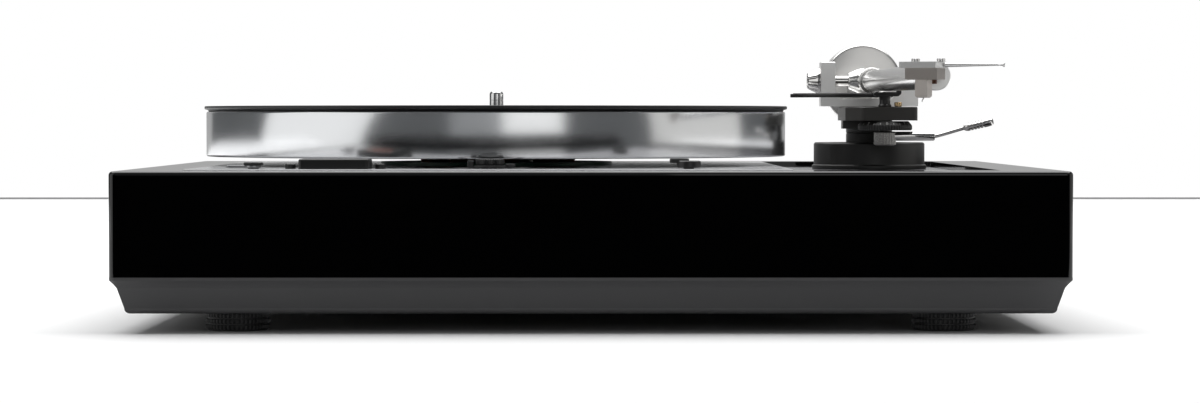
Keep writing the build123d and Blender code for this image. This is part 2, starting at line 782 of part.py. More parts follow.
with BuildPart() as phono_sockets:
    with BuildSketch(Plane.XZ.offset(-panel_face)):
        with Locations(*[(recess_x + offset, recess_z) for offset in phono_offsets]):
            Circle(socket_body_radius + 1)
    extrude(amount=-1.0)
    with BuildSketch(Plane.XZ.offset(-panel_face - 1)):
        with Locations(*[(recess_x + offset, recess_z) for offset in phono_offsets]):
            Circle(socket_radius)
    extrude(amount=-socket_length)
    with BuildSketch(Plane.XZ.offset(-panel_face)):
        with Locations(*[(recess_x + offset, recess_z) for offset in phono_offsets]):
            Circle(socket_body_radius - 1)
    extrude(amount=panel_thickness + 8)
    with BuildSketch(Plane.XZ.offset(-panel_face - 1 - socket_length)):
        with Locations(*[(recess_x + offset, recess_z) for offset in phono_offsets]):
            Circle(1.6)
    extrude(amount=socket_length, mode=Mode.SUBTRACT)
phono_sockets.part.label = "phono_sockets"
export_step(phono_sockets.part, "parts/phono_sockets.step")

with BuildPart() as ground_post:
    with BuildSketch(Plane.XZ.offset(-panel_face + panel_thickness + 4)):
        with Locations((recess_x + ground_offset, recess_z)):
            Circle(ground_radius)
    extrude(amount=-(panel_thickness + 4 + 9))
    with BuildSketch(Plane.XZ.offset(-panel_face - 3)):
        with Locations((recess_x + ground_offset, recess_z)):
            Circle(4.5)
    extrude(amount=-5.0)
ground_post.part.label = "ground_post"
export_step(ground_post.part, "parts/ground_post.step")

with BuildPart() as power_inlet:
    with BuildSketch(Plane.XZ.offset(-panel_face)):
        with Locations((recess_x + inlet_offset, recess_z)):
            Rectangle(inlet_size, inlet_size)
    extrude(amount=panel_thickness + 10)
    with BuildSketch(Plane.XZ.offset(-panel_face)):
        with Locations((recess_x + inlet_offset, recess_z)):
            RectangleRounded(inlet_size + 3, inlet_size + 3, 2.0)
    extrude(amount=-1.5)
    with BuildSketch(Plane.XZ.offset(-panel_face - 1.5)):
        with Locations((recess_x + inlet_offset, recess_z)):
            Circle(2.8)
            Circle(1.0, mode=Mode.SUBTRACT)
    extrude(amount=10.0, mode=Mode.SUBTRACT)
power_inlet.part.label = "power_inlet"
export_step(power_inlet.part, "parts/power_inlet.step")

# ---------------------------------------------------------------- tonearm base and pillar

flange_height = 2.4
spigot_bottom = frame_bottom - 6.0
nut_radius = 26.0
nut_height = 4.0
column_bottom = frame_bottom - 2.0
column_bore = 8.0
yaw_shaft_radius = 4.0
yaw_shaft_bottom = base_top + 0.6
block_left = -16.3
block_right = 20.9
block_front = 30.0
block_rear = 108.0
tower_x = 155.6
tower_y = arm_y - math.sqrt(lift_radius**2 - (tower_x - arm_x) ** 2)
tower_stem_radius = 3.0
tower_hub_radius = 5.85
tower_hub_bottom = 85.0
tower_hub_top = 92.6
lift_post_radius = 1.8
dial_radius = 14.35
dial_bottom = 93.1
dial_top = block_bottom - 0.3

with BuildPart() as arm_base:
    with BuildSketch(Plane.XY.offset(armboard_top)):
        with Locations(arm_pivot):
            Circle(base_radius + 1)
    extrude(amount=flange_height)
    with BuildSketch(Plane.XY.offset(armboard_top + flange_height)):
        with Locations(arm_pivot):
            Circle(base_radius)
    extrude(amount=base_height - flange_height)
    chamfer(arm_base.faces().sort_by(Axis.Z)[-1].edges(), 1.0)
    with BuildSketch(Plane.XY.offset(armboard_top)):
        with Locations(arm_pivot):
            Circle(arm_opening_radius - 0.3)
    extrude(amount=spigot_bottom - armboard_top)
    with BuildSketch(Plane.XY.offset(spigot_bottom)):
        with Locations(arm_pivot):
            Circle(column_radius + turning_gap)
    extrude(amount=base_top - spigot_bottom, mode=Mode.SUBTRACT)
arm_base.part.label = "arm_base"
export_step(arm_base.part, "parts/arm_base.step")

with BuildPart() as arm_base_nut:
    with BuildSketch(Plane.XY.offset(frame_bottom - nut_height)):
        with Locations(arm_pivot):
            RegularPolygon(nut_radius, 6)
            Circle(arm_opening_radius - 0.3, mode=Mode.SUBTRACT)
    extrude(amount=nut_height)
arm_base_nut.part.label = "arm_base_nut"
export_step(arm_base_nut.part, "parts/arm_base_nut.step")

with BuildPart() as arm_column:
    with BuildSketch(Plane.XY.offset(column_bottom)):
        with Locations(arm_pivot):
            Circle(column_radius)
            Circle(column_bore, mode=Mode.SUBTRACT)
    extrude(amount=block_bottom - column_bottom)
arm_column.part.label = "arm_column"
export_step(arm_column.part, "parts/arm_column.step")

bearing_ring_height = 3.0

with BuildPart() as yaw_bearings:
    for ring_bottom in (yaw_shaft_bottom, block_bottom - bearing_ring_height):
        with BuildSketch(Plane.XY.offset(ring_bottom)):
            with Locations(arm_pivot):
                Circle(column_bore)
                Circle(yaw_shaft_radius + running_gap, mode=Mode.SUBTRACT)
        extrude(amount=bearing_ring_height)
yaw_bearings.part.label = "yaw_bearings"
export_step(yaw_bearings.part, "parts/yaw_bearings.step")

rest_x = 154.8
rest_y = 33.9
rest_radius = 3.5
rest_hole_radius = 1.5
thumb_x = 161.7
thumb_y = 33.0

with BuildPart() as arm_block:
    with BuildSketch(Plane.XY.offset(block_bottom)):
        with BuildLine():
            Polyline(
                (arm_x + block_left, block_rear - 8),
                (arm_x + block_left, block_front + 14),
                (arm_x + block_left + 8, block_front),
                (arm_x + block_right, block_front),
                (arm_x + block_right, block_rear - 8),
                (arm_x + block_right - 8, block_rear),
                (arm_x + block_left + 8, block_rear),
                close=True,
            )
        make_face()
    extrude(amount=block_thickness)
    fillet(arm_block.edges().filter_by(Axis.Z), 2.0)
    chamfer(arm_block.faces().sort_by(Axis.Z)[-1].edges(), 0.5)
    with BuildSketch(Plane.XY.offset(block_bottom)):
        with Locations((arm_x + block_left + 7.1, 68.0)):
            Rectangle(14.2, 13.0)
    extrude(amount=-4.4)
    with BuildSketch(Plane.XY.offset(block_bottom)):
        with Locations(arm_pivot):
            Circle(yaw_shaft_radius + 0.4)
        with Locations((tower_x, tower_y)):
            Circle(tower_stem_radius)
        with Locations((thumb_x, thumb_y)):
            Circle(1.25)
        with Locations((rest_x, rest_y)):
            Circle(rest_hole_radius)
    extrude(amount=block_thickness, mode=Mode.SUBTRACT)
arm_block.part.label = "arm_block"
export_step(arm_block.part, "parts/arm_block.step")

cue_x = 182.0
cue_z = 90.0
cue_shaft_radius = 2.45
cue_shaft_start = tower_x + lift_post_radius + 0.4

with BuildPart() as lift_housing:
    with BuildSketch(Plane.XY.offset(tower_hub_bottom)):
        with Locations((tower_x, tower_y)):
            Circle(tower_hub_radius)
    extrude(amount=tower_hub_top - tower_hub_bottom)
    with BuildSketch(Plane.XY.offset(tower_hub_top)):
        with Locations((tower_x, tower_y)):
            Circle(tower_stem_radius)
    extrude(amount=block_top - tower_hub_top)
    with BuildSketch(Plane.XY.offset(tower_hub_bottom + 1)):
        with Locations((tower_x, tower_y)):
            Circle(lift_post_radius + turning_gap)
    extrude(amount=block_top - tower_hub_bottom, mode=Mode.SUBTRACT)
    with BuildSketch(Plane.YZ.offset(tower_x)):
        with Locations((tower_y, cue_z)):
            Circle(cue_shaft_radius + turning_gap)
    extrude(amount=tower_hub_radius + 1, mode=Mode.SUBTRACT)
lift_housing.part.label = "lift_housing"
export_step(lift_housing.part, "parts/lift_housing.step")

with BuildPart() as antiskate_dial:
    with BuildSketch(side_view(tower_x, tower_y)):
        with BuildLine():
            Polyline(
                (tower_stem_radius + turning_gap, dial_bottom),
                (dial_radius - 0.5, dial_bottom),
                (dial_radius, dial_bottom + 0.5),
                (dial_radius, dial_top - 1.6),
                (dial_radius - 1.6, dial_top),
                (tower_stem_radius + turning_gap, dial_top),
                close=True,
            )
        make_face()
    revolve(axis=Axis((tower_x, tower_y, 0), (0, 0, 1)))
antiskate_dial.part.label = "antiskate_dial"
export_step(antiskate_dial.part, "parts/antiskate_dial.step")

bar_top = 112.9
bar_height = 2.3
bar_half_width = 2.0
bar_start = -152.0
bar_end = -80.0

with BuildPart() as lift_bar:
    with BuildSketch(Plane.XY.offset(bar_top - bar_height)):
        with BuildLine():
            outer = CenterArc(arm_pivot, lift_radius + bar_half_width, bar_start, bar_end - bar_start)
            inner = CenterArc(arm_pivot, lift_radius - bar_half_width, bar_start, bar_end - bar_start)
            Line(outer @ 0, inner @ 0)
            Line(outer @ 1, inner @ 1)
        make_face()
    extrude(amount=bar_height)
    with BuildSketch(Plane.XY.offset(cue_z - 2)):
        with Locations((tower_x, tower_y)):
            Circle(lift_post_radius)
    extrude(amount=bar_top - bar_height - cue_z + 2)
lift_bar.part.label = "lift_bar"
export_step(lift_bar.part, "parts/lift_bar.step")

rest_floor_top = 113.3
rest_floor = 2.3
rest_wall_x = rest_x + 6.9
rest_wall = 1.6
rest_wall_top = 121.0

with BuildPart() as arm_rest:
    with BuildSketch(Plane.XY.offset(block_bottom + 1)):
        with Locations((rest_x, rest_y)):
            Circle(rest_hole_radius)
    extrude(amount=block_thickness - 1)
    with BuildSketch(Plane.XY.offset(block_top)):
        with Locations((rest_x, rest_y)):
            Circle(rest_radius)
    extrude(amount=rest_floor_top - rest_floor - block_top)
    with BuildSketch(Plane.XY.offset(rest_floor_top - rest_floor)):
        with Locations((rest_x + 1.2, rest_y)):
            Rectangle(2 * (rest_wall_x + rest_wall - rest_x - 1.2), 7.0)
    extrude(amount=rest_floor)
    with BuildSketch(Plane.XY.offset(rest_floor_top)):
        with Locations((rest_wall_x + rest_wall / 2, rest_y)):
            Rectangle(rest_wall, 7.0)
    extrude(amount=rest_wall_top - rest_floor_top)
arm_rest.part.label = "arm_rest"
export_step(arm_rest.part, "parts/arm_rest.step")

with BuildPart() as rest_thumbscrew:
    with BuildSketch(Plane.XY.offset(block_top)):
        with Locations((thumb_x, thumb_y)):
            Circle(2.0)
    extrude(amount=2.4)
    with BuildSketch(Plane.XY.offset(block_bottom + 0.5)):
        with Locations((thumb_x, thumb_y)):
            Circle(1.2)
    extrude(amount=block_thickness - 0.5)
rest_thumbscrew.part.label = "rest_thumbscrew"
export_step(rest_thumbscrew.part, "parts/rest_thumbscrew.step")

grip_start = (196.9, tower_y - 5.0, 94.4)
grip_end = (211.7, tower_y - 10.0, 97.8)
cue_shaft_end = (cue_x, tower_y, cue_z)
rod_plane = Plane(
    origin=cue_shaft_end,
    x_dir=(0, 1, 0),
    z_dir=tuple(b - a for a, b in zip(cue_shaft_end, grip_start)),
)
rod_length = math.dist(cue_shaft_end, grip_start)
grip_length = math.dist(grip_start, grip_end)
grip_plane = Plane(
    origin=grip_start,
    x_dir=(0, 1, 0),
    z_dir=tuple(b - a for a, b in zip(grip_start, grip_end)),
)

with BuildPart() as cue_shaft:
    with BuildSketch(Plane.YZ.offset(cue_shaft_start)):
        with Locations((tower_y, cue_z)):
            Circle(cue_shaft_radius)
    extrude(amount=cue_x - cue_shaft_start)
    with BuildSketch(rod_plane):
        Circle(1.1)
    extrude(amount=rod_length)
cue_shaft.part.label = "cue_shaft"
export_step(cue_shaft.part, "parts/cue_shaft.step")

with BuildPart() as cue_grip:
    with BuildSketch(grip_plane):
        Circle(2.15)
    extrude(amount=grip_length)
    fillet(cue_grip.edges(), 0.8)
    with BuildSketch(rod_plane.offset(rod_length - 3)):
        Circle(1.1)
    extrude(amount=3.0, mode=Mode.SUBTRACT)
cue_grip.part.label = "cue_grip"
export_step(cue_grip.part, "parts/cue_grip.step")

# ---------------------------------------------------------------- tonearm yoke

yoke_bottom = block_top + sweep_gap
yoke_top = 130.0
yoke_left = arm_x - 26.6
yoke_right = arm_x + 26.0
yoke_arm = 7.8
yoke_depth = 14.0
yoke_bar = 4.0
pivot_pin_radius = 2.8
pivot_cap_outer = 7.3
pivot_cap_inner = 4.0
pivot_cap_length = 7.1
hub_end = 11.4
hub_bore_depth = 4.0

with BuildPart() as yoke:
    with BuildSketch(Plane.XZ.offset(-arm_y - yoke_depth / 2)):
        with BuildLine():
            Polyline(
                (yoke_left, yoke_bottom),
                (yoke_right, yoke_bottom),
                (yoke_right, yoke_top),
                (yoke_right - yoke_arm, yoke_top),
                (yoke_right - yoke_arm, 115.0),
                (yoke_right - yoke_arm - 3.0, 115.0),
                (yoke_right - yoke_arm - 5.7, yoke_bottom + yoke_bar),
                (yoke_left + yoke_arm + 3.0, yoke_bottom + yoke_bar),
                (yoke_left + yoke_arm, yoke_bottom + yoke_bar + 3.0),
                (yoke_left + yoke_arm, yoke_top),
                (yoke_left, yoke_top),
                close=True,
            )
        make_face()
    extrude(amount=yoke_depth)
    with BuildSketch(Plane.YZ.offset(yoke_left)):
        with Locations((arm_y, wand_height)):
            Circle(pivot_pin_radius)
    extrude(amount=yoke_right - yoke_left, mode=Mode.SUBTRACT)
    chamfer(yoke.faces().sort_by(Axis.Z)[-1].edges(), 0.4)
    chamfer(yoke.faces().group_by(Axis.Z)[-1].edges(), 0.4)
    with BuildSketch(Plane.XY.offset(yoke_bottom)):
        with Locations(arm_pivot):
            Circle(yaw_shaft_radius)
    extrude(amount=yaw_shaft_bottom - yoke_bottom)
yoke.part.label = "yoke"
export_step(yoke.part, "parts/yoke.step")

pivot_axis = Axis((arm_x, arm_y, wand_height), (1, 0, 0))
pivot_plane = Plane(origin=(arm_x, arm_y, wand_height), x_dir=(1, 0, 0), z_dir=(0, -1, 0))


def pivot_outline(face, way):
    """Half the section of a pivot screw: a cone outside the yoke and a pin reaching the hub."""
    tip = hub_end - hub_bore_depth + 0.2
    return [
        (face + way * pivot_cap_length, 0),
        (face + way * pivot_cap_length, pivot_cap_inner),
        (face, pivot_cap_outer),
        (face, pivot_pin_radius),
        (way * tip, pivot_pin_radius),
        (way * tip, 0),
    ]


with BuildPart() as pivot_screws:
    with BuildSketch(pivot_plane):
        for face, way in ((yoke_left - arm_x, -1), (yoke_right - arm_x, 1)):
            with BuildLine():
                Polyline(*pivot_outline(face, way), close=True)
            make_face()
    revolve(axis=pivot_axis)
pivot_screws.part.label = "pivot_screws"
export_step(pivot_screws.part, "parts/pivot_screws.step")

# ---------------------------------------------------------------- tonearm wand

turn = math.radians(wand_turn)
wand_way = (math.sin(turn), -math.cos(turn), 0)
wand_plane = Plane(
    origin=(arm_x, arm_y, wand_height),
    x_dir=wand_way,
    z_dir=(wand_way[1], -wand_way[0], 0),
)
wand_axis = Axis((arm_x, arm_y, wand_height), wand_way)
tube_start_radius = 5.75
tube_end_radius = 6.45
tube_wall = 1.0
tube_start = 7.0
hub_collar = 11.0
hub_radius_middle = 7.2
stub_radius = 5.0
stub_start = 7.0
stub_end = 70.0
collar_length = 5.0
collar_radius = 6.9

with BuildPart() as wand_hub:
    with BuildSketch(pivot_plane):
        with BuildLine():
            Polyline(
                (-hub_end, 0),
                (-hub_end, 4.5),
                (-5.5, 7.0),
                (5.5, 7.0),
                (hub_end, 4.5),
                (hub_end, 0),
                close=True,
            )
        make_face()
    revolve(axis=pivot_axis)
    with BuildSketch(wand_plane):
        with Locations((hub_collar / 2, hub_radius_middle / 2)):
            Rectangle(hub_collar, hub_radius_middle)
    revolve(axis=wand_axis)
    with BuildSketch(Plane.XZ.offset(-arm_y)):
        with Locations((arm_x, wand_height)):
            Circle(6.4)
    extrude(amount=-9.0)
    with BuildSketch(wand_plane):
        with Locations((tube_start + 10, tube_start_radius / 2)):
            Rectangle(20, tube_start_radius)
    revolve(axis=wand_axis, mode=Mode.SUBTRACT)
    with BuildSketch(Plane.XZ.offset(-arm_y - stub_start)):
        with Locations((arm_x, wand_height)):
            Circle(stub_radius)
    extrude(amount=-9.0, mode=Mode.SUBTRACT)
    for end in (-hub_end, hub_end - hub_bore_depth):
        with BuildSketch(Plane.YZ.offset(arm_x + end)):
            with Locations((arm_y, wand_height)):
                Circle(pivot_pin_radius + turning_gap)
        extrude(amount=hub_bore_depth, mode=Mode.SUBTRACT)
wand_hub.part.label = "wand_hub"
export_step(wand_hub.part, "parts/wand_hub.step")

with BuildPart() as arm_tube:
    with BuildSketch(wand_plane):
        with BuildLine():
            Polyline(
                (tube_start, tube_start_radius - tube_wall),
                (wand_length, tube_end_radius - tube_wall),
                (wand_length, tube_end_radius),
                (hub_collar, tube_start_radius),
                (tube_start, tube_start_radius),
                close=True,
            )
        make_face()
    revolve(axis=wand_axis)
arm_tube.part.label = "arm_tube"
export_step(arm_tube.part, "parts/arm_tube.step")

with BuildPart() as weight_shaft:
    with BuildSketch(Plane.XZ.offset(-arm_y - stub_start)):
        with Locations((arm_x, wand_height)):
            Circle(stub_radius)
    extrude(amount=-(stub_end - stub_start))
weight_shaft.part.label = "weight_shaft"
export_step(weight_shaft.part, "parts/weight_shaft.step")

with BuildPart() as counterweight:
    with BuildSketch(Plane.XZ.offset(-weight_y + weight_length / 2)):
        with Locations((arm_x, wand_height - 1.3)):
            Circle(weight_radius)
    extrude(amount=-weight_length)
    fillet(counterweight.edges(), 1.0)
    with BuildSketch(Plane.XZ.offset(-weight_y + weight_length / 2)):
        with Locations((arm_x, wand_height)):
            Circle(stub_radius + turning_gap)
    extrude(amount=-weight_length, mode=Mode.SUBTRACT)
counterweight.part.label = "counterweight"
export_step(counterweight.part, "parts/counterweight.step")

# ---------------------------------------------------------------- headshell and cartridge

offset_angle = math.radians(headshell_turn)
shell_way = (-math.sin(offset_angle), -math.cos(offset_angle), 0)
collar_x = arm_x + wand_way[0] * wand_length
collar_y = arm_y + wand_way[1] * wand_length
# Local x runs across the headshell to its right, local y runs along it to the front and
# local z points down, so a negative offset lifts the plane.
shell_plane = Plane(
    origin=(collar_x, collar_y, 0),
    x_dir=(-shell_way[1], shell_way[0], 0),
    z_dir=(0, 0, -1),
)
shell_bottom = 123.4
shell_thickness = 2.9
shell_top = shell_bottom + shell_thickness
shell_front_half = 9.0
shell_rear_half = 5.5
shell_screw_y = 10.5
shell_screw_x = 6.35
shell_screw_radius = 1.2
cartridge_top = shell_bottom
cartridge_height = 5.5
cartridge_half = 8.0
cartridge_front = 22.0
holder_half = 3.1
holder_bottom = 109.2
stylus_y = 20.0
stylus_tip = 107.1
finger_x = 8.6
finger_y = 14.0
finger_height = 124.9

with BuildPart() as headshell:
    with BuildSketch(wand_plane):
        with BuildLine():
            Polyline(
                (wand_length, 0),
                (wand_length + collar_length, 0),
                (wand_length + collar_length, collar_radius - 0.3),
                (wand_length + collar_length - 0.3, collar_radius),
                (wand_length - 2, collar_radius),
                (wand_length - 2, tube_end_radius + screw_gap),
                (wand_length, tube_end_radius + screw_gap),
                close=True,
            )
        make_face()
    revolve(axis=wand_axis)
    with BuildSketch(shell_plane.offset(-shell_top)):
        with BuildLine():
            Polyline(
                (-shell_rear_half, 5.6),
                (-shell_front_half, 9.0),
                (-shell_front_half, headshell_length),
                (shell_front_half, headshell_length),
                (shell_front_half, 9.0),
                (shell_rear_half, 5.6),
                close=True,
            )
        make_face()
        with Locations((-shell_screw_x, shell_screw_y), (shell_screw_x, shell_screw_y)):
            Circle(shell_screw_radius + screw_gap, mode=Mode.SUBTRACT)
    extrude(amount=shell_thickness)
    with BuildSketch(shell_plane.offset(-shell_top)):
        with Locations((0, 6.75)):
            Rectangle(6.4, 6.5)
    extrude(amount=shell_top - wand_height)
headshell.part.label = "headshell"
export_step(headshell.part, "parts/headshell.step")

with BuildPart() as cartridge_body:
    with BuildSketch(shell_plane.offset(-cartridge_top)):
        with Locations((0, (cartridge_front + 12.5) / 2)):
            Rectangle(2 * cartridge_half, cartridge_front - 12.5)
        with Locations((-shell_screw_x, 10.9), (shell_screw_x, 10.9)):
            Rectangle(2 * (cartridge_half - shell_screw_x), 3.6)
        with Locations((-shell_screw_x, shell_screw_y), (shell_screw_x, shell_screw_y)):
            Circle(shell_screw_radius + screw_gap, mode=Mode.SUBTRACT)
    extrude(amount=cartridge_height)
cartridge_body.part.label = "cartridge_body"
export_step(cartridge_body.part, "parts/cartridge_body.step")

with BuildPart() as stylus_holder:
    with BuildSketch(shell_plane.offset(-cartridge_top + cartridge_height)):
        with Locations((0, 18.0)):
            Rectangle(2 * holder_half, 8.0)
    extrude(amount=cartridge_top - cartridge_height - holder_bottom)
    chamfer(stylus_holder.faces().sort_by(Axis.Z)[0].edges(), 0.8)
stylus_holder.part.label = "stylus_holder"
export_step(stylus_holder.part, "parts/stylus_holder.step")

with BuildPart() as cartridge_screws:
    with BuildSketch(shell_plane.offset(-shell_top)):
        with Locations((-shell_screw_x, shell_screw_y), (shell_screw_x, shell_screw_y)):
            Circle(2.0)
    extrude(amount=-1.7)
    with BuildSketch(shell_plane.offset(-shell_top)):
        with Locations((-shell_screw_x, shell_screw_y), (shell_screw_x, shell_screw_y)):
            Circle(shell_screw_radius)
    extrude(amount=shell_thickness + cartridge_height)
cartridge_screws.part.label = "cartridge_screws"
export_step(cartridge_screws.part, "parts/cartridge_screws.step")

cantilever_start = shell_plane.from_local_coords((0, stylus_y - 4.6, -holder_bottom - 0.3))
cantilever_end = shell_plane.from_local_coords((0, stylus_y, -stylus_tip - 0.5))
cantilever_line = cantilever_end - cantilever_start

with BuildPart() as cantilever:
    with BuildSketch(Plane(origin=cantilever_start, z_dir=cantilever_line)):
        Circle(0.35)
    extrude(amount=cantilever_line.length)
    with BuildSketch(shell_plane.offset(-stylus_tip)):
        with Locations((0, stylus_y)):
            Circle(0.3)
    extrude(amount=-1.0)
    with BuildSketch(shell_plane.offset(-holder_bottom)):
        with Locations((0, stylus_y - 4.0)):
            Rectangle(4.0, 6.0)
    extrude(amount=-3.0, mode=Mode.SUBTRACT)
cantilever.part.label = "cantilever"
export_step(cantilever.part, "parts/cantilever.step")

pin_plate_height = 7.5

with BuildPart() as pin_board:
    with BuildSketch(shell_plane.offset(-cartridge_top)):
        with Locations((0, 11.6)):
            Rectangle(9.0, 1.8)
    extrude(amount=pin_plate_height)
pin_board.part.label = "pin_board"
export_step(pin_board.part, "parts/pin_board.step")

finger_start = shell_plane.from_local_coords((finger_x, finger_y, -finger_height))
finger_end = (196.0, finger_start.Y - 6.0, finger_height)
finger_line = Vector(*finger_end) - finger_start

with BuildPart() as finger_lift:
    with BuildSketch(Plane(origin=finger_start, z_dir=finger_line)):
        Circle(1.2)
    with BuildSketch(Plane(origin=finger_end, z_dir=finger_line)):
        Circle(0.5)
    loft()
    with BuildSketch(Plane(origin=finger_end, z_dir=finger_line)):
        Circle(1.1)
    extrude(amount=0.6)
    with BuildSketch(shell_plane.offset(-shell_top)):
        with Locations((0, headshell_length / 2 + 4.5)):
            Rectangle(2 * shell_front_half, headshell_length - 9)
    extrude(amount=shell_thickness, mode=Mode.SUBTRACT)
finger_lift.part.label = "finger_lift"
export_step(finger_lift.part, "parts/finger_lift.step")
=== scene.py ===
"""Looks of a record player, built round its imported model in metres."""

import json
import logging
import math
from collections.abc import Callable, Sequence
from dataclasses import dataclass, field
from enum import Enum

import bmesh
import bpy
import numpy as np
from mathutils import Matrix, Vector


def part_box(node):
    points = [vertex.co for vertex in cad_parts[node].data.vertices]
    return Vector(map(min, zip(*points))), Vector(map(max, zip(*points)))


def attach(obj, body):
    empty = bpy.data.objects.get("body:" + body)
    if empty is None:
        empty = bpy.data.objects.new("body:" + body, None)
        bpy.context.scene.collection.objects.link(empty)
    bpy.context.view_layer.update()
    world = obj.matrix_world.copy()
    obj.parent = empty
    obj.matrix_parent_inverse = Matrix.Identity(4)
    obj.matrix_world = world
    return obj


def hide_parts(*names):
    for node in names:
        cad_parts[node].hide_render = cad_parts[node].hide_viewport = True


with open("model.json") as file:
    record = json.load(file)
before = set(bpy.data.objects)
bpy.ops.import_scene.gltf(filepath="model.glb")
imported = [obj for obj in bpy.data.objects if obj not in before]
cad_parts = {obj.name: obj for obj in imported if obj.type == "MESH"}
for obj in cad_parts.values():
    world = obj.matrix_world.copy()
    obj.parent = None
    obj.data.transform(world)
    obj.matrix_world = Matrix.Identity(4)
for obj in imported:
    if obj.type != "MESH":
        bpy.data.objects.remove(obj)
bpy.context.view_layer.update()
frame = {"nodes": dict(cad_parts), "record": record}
MM = 0.001
TURN = 2.0 * math.pi

log = logging.getLogger("record_player")

Point = tuple[float, float, float]


# ---------------------------------------------------------------- shader expressions


class Number:
    """A number inside a material; arithmetic on it adds Math nodes."""

    def __init__(self, recipe: "Recipe", socket: bpy.types.NodeSocket) -> None:
        """Wraps an output socket of a recipe's node tree."""
        self.recipe = recipe
        self.socket = socket

    def math(self, operation: str, *others: "Number | float", clamp: bool = False) -> "Number":
        """Adds one Math node with this number first.

        Args:
            operation: The Math node's operation.
            others: The other inputs, numbers or links.
            clamp: Whether the result stays between 0 and 1.

        Returns:
            The node's result.
        """
        return self.recipe.calculate(operation, self, *others, clamp=clamp)

    def __add__(self, other: "Number | float") -> "Number":
        """This plus the other."""
        return self.math("ADD", other)

    __radd__ = __add__

    def __sub__(self, other: "Number | float") -> "Number":
        """This minus the other."""
        return self.math("SUBTRACT", other)

    def __rsub__(self, other: float) -> "Number":
        """The other minus this."""
        return self.recipe.calculate("SUBTRACT", other, self)

    def __mul__(self, other: "Number | float") -> "Number":
        """This times the other."""
        return self.math("MULTIPLY", other)

    __rmul__ = __mul__

    def __truediv__(self, other: "Number | float") -> "Number":
        """This divided by the other."""
        return self.math("DIVIDE", other)

    def __pow__(self, other: float) -> "Number":
        """This to a power."""
        return self.math("POWER", other)

    def clamped(self) -> "Number":
        """This held between 0 and 1."""
        return self.math("ADD", 0.0, clamp=True)


class Recipe:
    """The node tree of one material, with a Principled shader at its end."""

    def __init__(self, name: str) -> None:
        """Starts an empty material with its shader and output."""
        self.material = bpy.data.materials.new(name)
        self.material.use_nodes = True
        self.tree = self.material.node_tree
        self.tree.nodes.clear()
        self.shader = self.tree.nodes.new("ShaderNodeBsdfPrincipled")
        output = self.tree.nodes.new("ShaderNodeOutputMaterial")
        self.tree.links.new(self.shader.outputs["BSDF"], output.inputs["Surface"])

    def node(self, kind: str, settings: dict | None = None, inputs: dict | None = None) -> bpy.types.Node:
        """Adds a node.

        Args:
            kind: The node's type.
            settings: Its properties, set first; a ramp's stops come under "stops".
            inputs: Values or links for its sockets, by name or index.

        Returns:
            The node.
        """
        node = self.tree.nodes.new(kind)
        for key, value in (settings or {}).items():
            if key == "stops":
                ramp = node.color_ramp.elements
                ramp[0].position, ramp[0].color = value[0]
                ramp[1].position, ramp[1].color = value[-1]
                for position, colour in value[1:-1]:
                    ramp.new(position).color = colour
            else:
                setattr(node, key, value)
        for key, value in (inputs or {}).items():
            self.feed(node.inputs[key], value)
        return node

    def feed(self, socket: bpy.types.NodeSocket, value: object) -> None:
        """Links a number or an output to a socket, or sets its value."""
        if isinstance(value, Number):
            self.tree.links.new(value.socket, socket)
        elif isinstance(value, bpy.types.NodeSocket):
            self.tree.links.new(value, socket)
        else:
            socket.default_value = value

    def calculate(self, operation: str, *values: "Number | float", clamp: bool = False) -> Number:
        """Adds a Math node on these values and returns its result."""
        settings = {"operation": operation, "use_clamp": clamp}
        node = self.node("ShaderNodeMath", settings, dict(enumerate(values)))
        return Number(self, node.outputs[0])

    def vector(self, operation: str, output: str, *values: object) -> bpy.types.NodeSocket:
        """Adds a Vector Math node and returns one of its outputs."""
        node = self.node("ShaderNodeVectorMath", {"operation": operation}, dict(enumerate(values)))
        return node.outputs[output]

    def scaled(self, vector: bpy.types.NodeSocket, factor: "Number | float") -> bpy.types.NodeSocket:
        """A vector times a number."""
        node = self.node("ShaderNodeVectorMath", {"operation": "SCALE"}, {0: vector, "Scale": factor})
        return node.outputs[0]

    def place(self) -> bpy.types.NodeSocket:
        """Where a point is on the object, in metres."""
        return self.node("ShaderNodeTexCoord").outputs["Object"]

    def noise(self, vector: bpy.types.NodeSocket, scale: float, detail: float = 2.0,
              rough: float = 0.5) -> Number:
        """Noise between 0 and 1.

        Args:
            vector: Where to read it.
            scale: Features to the unit of the vector.
            detail: Octaves.
            rough: How much the finer octaves count.

        Returns:
            The noise value.
        """
        inputs = {"Vector": vector, "Scale": scale, "Detail": detail, "Roughness": rough}
        node = self.node("ShaderNodeTexNoise", {"noise_dimensions": "3D"}, inputs)
        return Number(self, node.outputs[0])

    def blend(self, factor: "Number | float", first: object, second: object) -> bpy.types.NodeSocket:
        """A colour between two others."""
        settings = {"data_type": "RGBA", "clamp_factor": True}
        node = self.node("ShaderNodeMix", settings)
        self.feed(node.inputs[0], factor)
        self.feed(node.inputs[6], first)
        self.feed(node.inputs[7], second)
        return node.outputs[2]


class Grain(Enum):
    """How a surface was left by what made it."""

    MOULDED = "moulded"
    SPRAYED = "sprayed"
    LACQUERED = "lacquered"
    BRUSHED = "brushed"
    TURNED = "turned"
    CAST = "cast"
    POLISHED = "polished"


@dataclass(frozen=True)
class Lathe:
    """The line that a turned piece was turned about."""

    centre: Point
    way: Point = (0.0, 0.0, 1.0)


